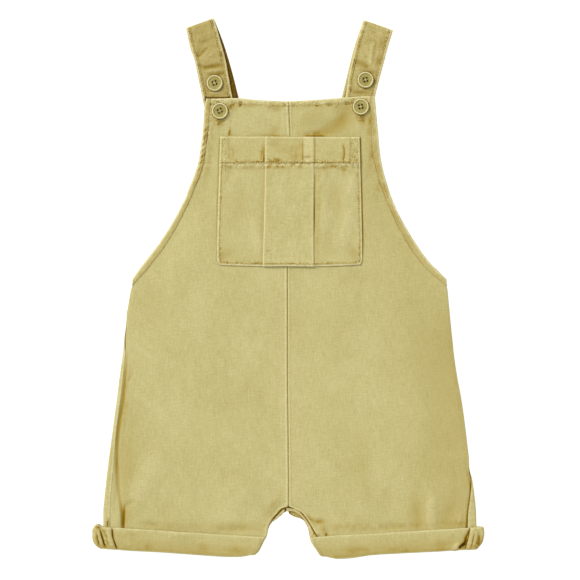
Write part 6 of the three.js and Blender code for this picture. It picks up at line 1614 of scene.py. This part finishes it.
def button_blank():
    """A four-hole button: round rim, shallow dish, drilled holes."""
    R, T = BUTTON_R, BUTTON_T
    rim = [(0.0, 0.0), (0.55 * R, 0.02), (0.8 * R, 0.22), (0.92 * R, 0.5), (0.97 * R, 0.85), (R, 1.35), (R - 0.03, 1.9), (R - 0.2, T - 0.4),
           (R - 0.42, T - 0.13), (R - 0.75, T), (R - 1.1, T - 0.1), (R - 1.4, T - 0.42), (R - 1.62, T - 0.8), (R - 1.95, T - 1.0), (R - 2.6, T - 1.08), (3.6, T - 1.14), (0.0, T - 1.15)]
    n = 96
    verts, faces = [(0, 0, rim[0][1])], []
    for r, z in rim[1:-1]:
        for k in range(n):
            a = 2 * math.pi * k / n
            verts.append((r * math.cos(a), r * math.sin(a), z))
    verts.append((0, 0, rim[-1][1]))
    ring = lambda i, k: 1 + i * n + k % n
    for k in range(n):
        faces.append((0, ring(0, k + 1), ring(0, k)))
        for i in range(len(rim) - 3):
            faces.append((ring(i, k), ring(i, k + 1), ring(i + 1, k + 1), ring(i + 1, k)))
        faces.append((ring(len(rim) - 3, k), ring(len(rim) - 3, k + 1), len(verts) - 1))
    blank = plain_mesh("blank", verts, faces)
    hv, hf = [], []
    for q in range(4):
        a0 = math.pi / 4 + q * math.pi / 2
        cx, cy, b, m = HOLE_AT * math.cos(a0), HOLE_AT * math.sin(a0), len(hv), 24
        for z in (-3.0, 6.0):
            for k in range(m):
                a = 2 * math.pi * k / m
                hv.append((cx + HOLE_R * math.cos(a), cy + HOLE_R * math.sin(a), z))
        for k in range(m):
            hf.append((b + k, b + (k + 1) % m, b + m + (k + 1) % m, b + m + k))
        hf.append(tuple(b + k for k in range(m))[::-1])
        hf.append(tuple(b + m + k for k in range(m)))
    drill = plain_mesh("drill", hv, hf)
    mod = blank.modifiers.new("holes", "BOOLEAN")
    mod.operation, mod.solver, mod.object = "DIFFERENCE", "EXACT", drill
    bpy.context.view_layer.update()
    done = bpy.data.meshes.new_from_object(blank.evaluated_get(bpy.context.evaluated_depsgraph_get()))
    v = np.zeros(len(done.vertices) * 3)
    done.vertices.foreach_get("co", v)
    polys = [tuple(p.vertices) for p in done.polygons]
    for ob in (blank, drill):
        me = ob.data
        bpy.data.objects.remove(ob)
        bpy.data.meshes.remove(me)
    bpy.data.meshes.remove(done)
    return v.reshape(-1, 3), polys


def make_button(name, blank):
    bx, by, turn, z0 = BUTTONS[name]
    side = "right" if name.endswith("right") else "left"
    if z0 is None:
        z0 = float(panel_height(bx, by)) + CLOTH / 2 + 0.1 + GAP
    v, polys = blank
    a = math.radians(turn)
    r = np.hypot(v[:, 0], v[:, 1])
    at = np.stack([bx + v[:, 0] * math.cos(a) - v[:, 1] * math.sin(a), by + v[:, 0] * math.sin(a) + v[:, 1] * math.cos(a), z0 + v[:, 2]], -1)
    me = bpy.data.meshes.new(name)
    me.from_pydata([tuple(p) for p in at * 0.001], [], polys)
    me.update()
    me.polygons.foreach_set("use_smooth", np.ones(len(me.polygons), bool))
    me.set_sharp_from_angle(angle=math.radians(42))
    att = me.attributes.new("cloth", "FLOAT_VECTOR", "POINT")
    att.data.foreach_set("vector", np.stack([v[:, 0] + bx, v[:, 1] + by, v[:, 2]], -1).astype(np.float32).ravel())
    mid = np.array([v[list(f)].mean(axis=0) for f in polys])
    walls = np.array([max(v[list(f), 2]) - min(v[list(f), 2]) > 1.0 for f in polys])
    hole = np.min([np.hypot(mid[:, 0] - HOLE_AT * math.cos(math.pi / 4 + q * math.pi / 2), mid[:, 1] - HOLE_AT * math.sin(math.pi / 4 + q * math.pi / 2)) for q in range(4)], axis=0)
    # painted shade: the hole walls are painted dark, and the dish is darker towards its middle
    dye = 1.0 * walls * (hole < HOLE_R + 0.05) + 0.3 * smooth((3.9 - np.hypot(mid[:, 0], mid[:, 1])) / 0.8) * ~walls
    # wear and painted highlight on the rim's top
    wear_and_highlight = 0.75 * smooth((r - (BUTTON_R - 1.45)) / 0.3) * (v[:, 2] > 1.5)
    for key, values, domain in (("dye", dye, "FACE"), ("wear_and_highlight", wear_and_highlight, "POINT")):
        att = me.attributes.new(key, "FLOAT", domain)
        att.data.foreach_set("value", np.clip(values, 0, 1).astype(np.float32))
    me.materials.append(PLASTIC)
    ob = bpy.data.objects.new(name, me)
    bpy.context.scene.collection.objects.link(ob)
    top = z0 + BUTTON_T - 1.15
    strands = []
    for q in (0, 1):
        ang = a + math.pi / 4 + q * math.pi / 2
        ux, uy = math.cos(ang), math.sin(ang)
        for o in (-0.15, 0.15):
            reach = HOLE_AT - 0.72
            ends = [(bx + e * reach * ux - o * uy, by + e * reach * uy + o * ux) for e in (-1, 1)]
            high = top + 0.3 + 0.3 * q
            pts = [(*ends[0], top - 0.5), (lerp(ends[0][0], ends[1][0], 0.1), lerp(ends[0][1], ends[1][1], 0.1), top + 0.2),
                   (bx - o * uy, by + o * ux, high), (lerp(ends[0][0], ends[1][0], 0.9), lerp(ends[0][1], ends[1][1], 0.9), top + 0.2), (*ends[1], top - 0.5)]
            strands.append((np.array(pts), 0.19, 0.0))
    # near-black strands fill the holes: painted shadow
    for q in range(4):
        ang = a + math.pi / 4 + q * math.pi / 2
        hx, hy = bx + HOLE_AT * math.cos(ang), by + HOLE_AT * math.sin(ang)
        strands.append((np.array([(hx, hy, z0 - 0.25), (hx + 0.01, hy, z0 + 0.5), (hx, hy, z0 + 1.0)]), 0.8, 2.0))
    return ob, strands


# ------------------------------------------------------------------ stitches
def tubes(name, strands, sides=6):
    """Many short threads in one mesh. Each strand is its points, its radius and how dark it is; the dark ends are
    painted shade where the thread goes into the cloth.
    """
    verts, quads, tris, cloth, dye, wear_and_highlight = [], [], [], [], [], []
    for n, (pts, rad, much) in enumerate(strands):
        pts = np.asarray(pts, float)
        tan = np.gradient(pts, axis=0)
        tan /= np.linalg.norm(tan, axis=1, keepdims=True)
        up = np.array([0.0, 0.0, 1.0])
        b = len(verts)
        m = len(pts)
        for i in range(m):
            u = np.cross(tan[i], up)
            u /= max(np.linalg.norm(u), 1e-6)
            w = np.cross(u, tan[i])
            thin = 0.85 if i in (0, m - 1) else 1.0
            for k in range(sides):
                a = 2 * math.pi * k / sides
                verts.append(pts[i] + rad * thin * (math.cos(a) * u + math.sin(a) * w))
                cloth.append((pts[i][0] * 2 + i * 0.7, pts[i][1] * 2 + k * 0.4, n * 1.7))
                dye.append(much if i in (0, 1, m - 2, m - 1) or much > 1 else 0.15 * much)
                wear_and_highlight.append(0.0)
        for i in range(m - 1):
            for k in range(sides):
                k2 = (k + 1) % sides
                quads.append((b + i * sides + k, b + i * sides + k2, b + (i + 1) * sides + k2, b + (i + 1) * sides + k))
        for k in range(1, sides - 1):
            tris.append((b, b + k + 1, b + k))
            e = b + (m - 1) * sides
            tris.append((e, e + k, e + k + 1))
    return mesh_of(name, verts, quads, tris, THREAD, cloth, dye, wear_and_highlight)


def sew(path, pitch=STITCH, fill=0.94, rad=THREAD_R, sink=0.06, seed=1, start=0.0, stop=None, slant=0.0, much=0.8):
    """Stitches along a path on the cloth: short threads that rise out of it and go back in."""
    path = np.asarray(path, float)
    s = np.concatenate([[0], np.cumsum(np.linalg.norm(np.diff(path, axis=0), axis=1))])
    stop = s[-1] if stop is None else stop
    out = []
    k = 0
    at = start + 0.5 * pitch
    while at + pitch * 0.5 < stop:
        half = pitch * fill / 2
        jitter = 0.12 * float(noise(k * 1.7, 0.3, seed))
        q = np.array([at - half, at - 0.6 * half, at - 0.3 * half, at + 0.3 * half, at + 0.6 * half, at + half]) + jitter
        p = np.stack([np.interp(q, s, path[:, i]) for i in range(3)], -1)
        t = p[-1] - p[0]
        nrm = np.array([-t[1], t[0], 0]) / max(np.hypot(t[0], t[1]), 1e-6)
        p += nrm * np.array([-1, -0.6, -0.3, 0.3, 0.6, 1])[:, None] * slant
        p[:, 2] += np.array([-0.1, rad * 0.2, rad * 0.8, rad * 0.8, rad * 0.2, -0.1]) - sink
        out.append((p, rad * (0.92 + 0.1 * float(noise(k * 0.9, 2.1, seed + 3))), much * (0.75 + 0.4 * float(noise(k * 0.31, 7.1, seed + 5)))))
        at += pitch * (1 + 0.04 * float(noise(k * 0.61, 5.0, seed + 9)))
        k += 1
    return out


def laid(keys, xy, lift=0.0):
    pts = []
    for x, y in xy:
        pts.append((x, y, height_on(keys, x, y) + lift))
    return np.array(pts)


def along_line(a, b, step=0.8):
    n = max(int(math.hypot(b[0] - a[0], b[1] - a[1]) / step), 2)
    return [(lerp(a[0], b[0], k / n), lerp(a[1], b[1], k / n)) for k in range(n + 1)]


def satin(keys, a, b, gap, reach, pitch=0.52, rad=0.2, seed=3):
    """Close zigzag down both sides of a slit from a to b."""
    L = math.hypot(b[0] - a[0], b[1] - a[1])
    ux, uy = (b[0] - a[0]) / L, (b[1] - a[1]) / L
    out = []
    for k in range(int(L / pitch)):
        d = (k + 0.5) * pitch
        end = min(d, L - d)
        for side in (-1, 1):
            j = 0.1 * float(noise(k * 1.3, side, seed))
            inner, outer = side * (0.1 if end < 1.0 else gap), side * (reach + j)
            pts = []
            for f, up in ((0, -0.15), (0.2, 0.12), (0.5, 0.2), (0.8, 0.12), (1, -0.18)):
                o = lerp(inner, outer, f)
                x, y = a[0] + ux * d - uy * o, a[1] + uy * d + ux * o
                pts.append((x, y, height_on(keys, x, y) + up))
            out.append((np.array(pts), rad, 0.9))
    return out


# ------------------------------------------------------------------ build
made = {}
for side in SIDES:
    made[f"front_{side}"] = make_front(side)
    made[f"armhole_hem_{side}"] = make_armhole_hem(side)
    made[f"back_{side}"] = make_back(side)
    made[f"inseam_band_{side}"] = make_inseam_band(side)
    made[f"cuff_back_{side}"] = make_cuff(side, "back")
    made[f"cuff_front_{side}"] = make_cuff(side, "front")
    made[f"strap_{side}"] = make_strap(side)
made["pocket"] = make_pocket_panel()
made["pocket_pleat"] = make_pocket_pleat()
made["pocket_hem"] = make_pocket_hem()
blank = button_blank()
threads = {}
for name in BUTTONS:
    made[name], strands = make_button(name, blank)
    threads.setdefault("button_thread_" + name.split("_")[-1], []).extend(strands)

for side in SIDES:
    threads[f"stitch_bib_{side}"] = sew(PATHS[f"bib_{side}"], seed=7 if side == "left" else 9, much=0.45)
    threads[f"stitch_armhole_{side}"] = sew(PATHS[f"armhole_{side}"], seed=13 if side == "left" else 15, much=0.5)
    threads[f"stitch_strap_{side}"] = (sew(PATHS[f"strap_{side}_a"], seed=19, much=0.55) + sew(PATHS[f"strap_{side}_b"], seed=21, much=0.55))
edge_l = [(float(look(POCKET, "y", y, "xl")) + 2.3, y) for y in np.arange(148.5, 25.4, -0.8)]
edge_r = [(float(look(POCKET, "y", y, "xr")) - 2.3, y) for y in np.arange(148.5, 25.4, -0.8)]
foot = []
for x in np.arange(-68.0, 71.6, 0.8):
    share = (x + 69) / 142.5
    foot.append((x, 25.3 - 1.7 * math.sin(math.pi * share) + 0.35 * float(noise(x / 26, 0, 181))))
pocket_keys = ("pocket", "pocket_pleat", "pocket_hem")
threads["stitch_pocket"] = (sew(laid(pocket_keys, edge_l), seed=25, much=0.5) + sew(laid(pocket_keys, edge_r), seed=27, much=0.5)
                            + sew(laid(pocket_keys, foot), seed=29, much=0.5))
mouth = [(x, 125.4 + 0.3 * math.sin(x / 17)) for x in np.arange(-67.5, 71.6, 0.8)]
threads["stitch_pocket_hem"] = sew(laid(("pocket_hem",), mouth), seed=31, much=0.75, sink=0.16)
for a, b, n in (((-59.2, 146.5), (-59.4, 128.5), 51), ((61.8, 148.5), (62.2, 127.0), 53), ((-65.5, 148.6), (-58.6, 148.8), 55), ((60.6, 148.6), (69.4, 148.4), 57)):
    threads["stitch_pocket_hem"] += sew(laid(("pocket_hem",), along_line(a, b)), seed=n, much=0.45)
tack = []
for x0, y1, y0 in ((-63.4, 124.0, 117.0), (64.2, 126.2, 119.6)):
    for k in range(int((y1 - y0) / 0.5)):
        y = y0 + k * 0.5
        j = 0.15 * float(noise(k * 1.9, x0, 35))
        tack.append((laid(pocket_keys, [(x0 - 1.0 + j, y), (x0 - 0.4, y), (x0 + 0.4, y), (x0 + 1.0 + j, y)]) + np.array([[0, 0, 0.0], [0, 0, 0.16], [0, 0, 0.16], [0, 0, 0.0]]), 0.24, 0.12))
for a, b, n in (((15.8, 130.5), (25.2, 130.6), 1), ((-22.8, 37.2), (-17.4, 37.4), 1)):
    tack += sew(laid(pocket_keys, along_line(a, b)), pitch=2.4, seed=37, much=1.0)
threads["bartack_pocket"] = tack
threads["buttonhole_right"] = satin(("front_right",), (-70.3, 187.0), (-66.8, 164.3), 0.28, 1.5, seed=41)
threads["buttonhole_left"] = satin(("front_left",), (72.9, 189.6), (74.3, 167.5), 0.28, 1.5, seed=43)

stitched = {}
for name, strands in threads.items():
    stitched[name] = tubes(name, strands)

# ------------------------------------------------------------------ stage, light, camera
scene = bpy.context.scene
me = bpy.data.meshes.new("floor")
me.from_pydata([(-3, -3, -0.0004), (3, -3, -0.0004), (3, 3, -0.0004), (-3, 3, -0.0004)], [], [(0, 1, 2, 3)])
floor = bpy.data.objects.new("floor", me)
scene.collection.objects.link(floor)
mat = bpy.data.materials.new("floor")
mat.use_nodes = True
bsdf = mat.node_tree.nodes["Principled BSDF"]
bsdf.inputs["Base Color"].default_value = (0.3, 0.3, 0.298, 1)
bsdf.inputs["Roughness"].default_value = 1.0
bsdf.inputs["Specular IOR Level"].default_value = 0.0
bsdf.inputs["Emission Color"].default_value = (1, 1, 0.995, 1)
bsdf.inputs["Emission Strength"].default_value = 0.84
me.materials.append(mat)

world = bpy.data.worlds.new("studio")
world.use_nodes = True
world.node_tree.nodes["Background"].inputs["Color"].default_value = (1.0, 0.995, 0.985, 1)
world.node_tree.nodes["Background"].inputs["Strength"].default_value = 0.62
scene.world = world


def sun(name, azimuth, elevation, strength, spread_deg, colour=(1, 1, 1)):
    light = bpy.data.lights.new(name, "SUN")
    light.energy, light.angle, light.color = strength, math.radians(spread_deg), colour
    ob = bpy.data.objects.new(name, light)
    a, e = math.radians(azimuth), math.radians(elevation)
    way = Vector((math.cos(a) * math.cos(e), math.sin(a) * math.cos(e), math.sin(e)))
    ob.rotation_euler = way.to_track_quat("Z", "Y").to_euler()
    scene.collection.objects.link(ob)
    return ob


sun("key", 138, 38, 2.35, 16, (1.0, 0.99, 0.965))
sun("fill", -30, 62, 0.45, 60, (0.98, 0.99, 1.0))

cam = bpy.data.cameras.new("camera")
cam.lens, cam.sensor_width = 135.0, 36.0
camera = bpy.data.objects.new("camera", cam)
camera.location = (0.002, -0.002, 2.179)
camera.rotation_euler = (0, 0, 0)
scene.collection.objects.link(camera)
scene.camera = camera
scene.view_settings.view_transform = "Standard"

# ------------------------------------------------------------------ the frame
for name, ob in made.items():
    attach(ob, "root")
    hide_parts(name)
for ob in stitched.values():
    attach(ob, "root")
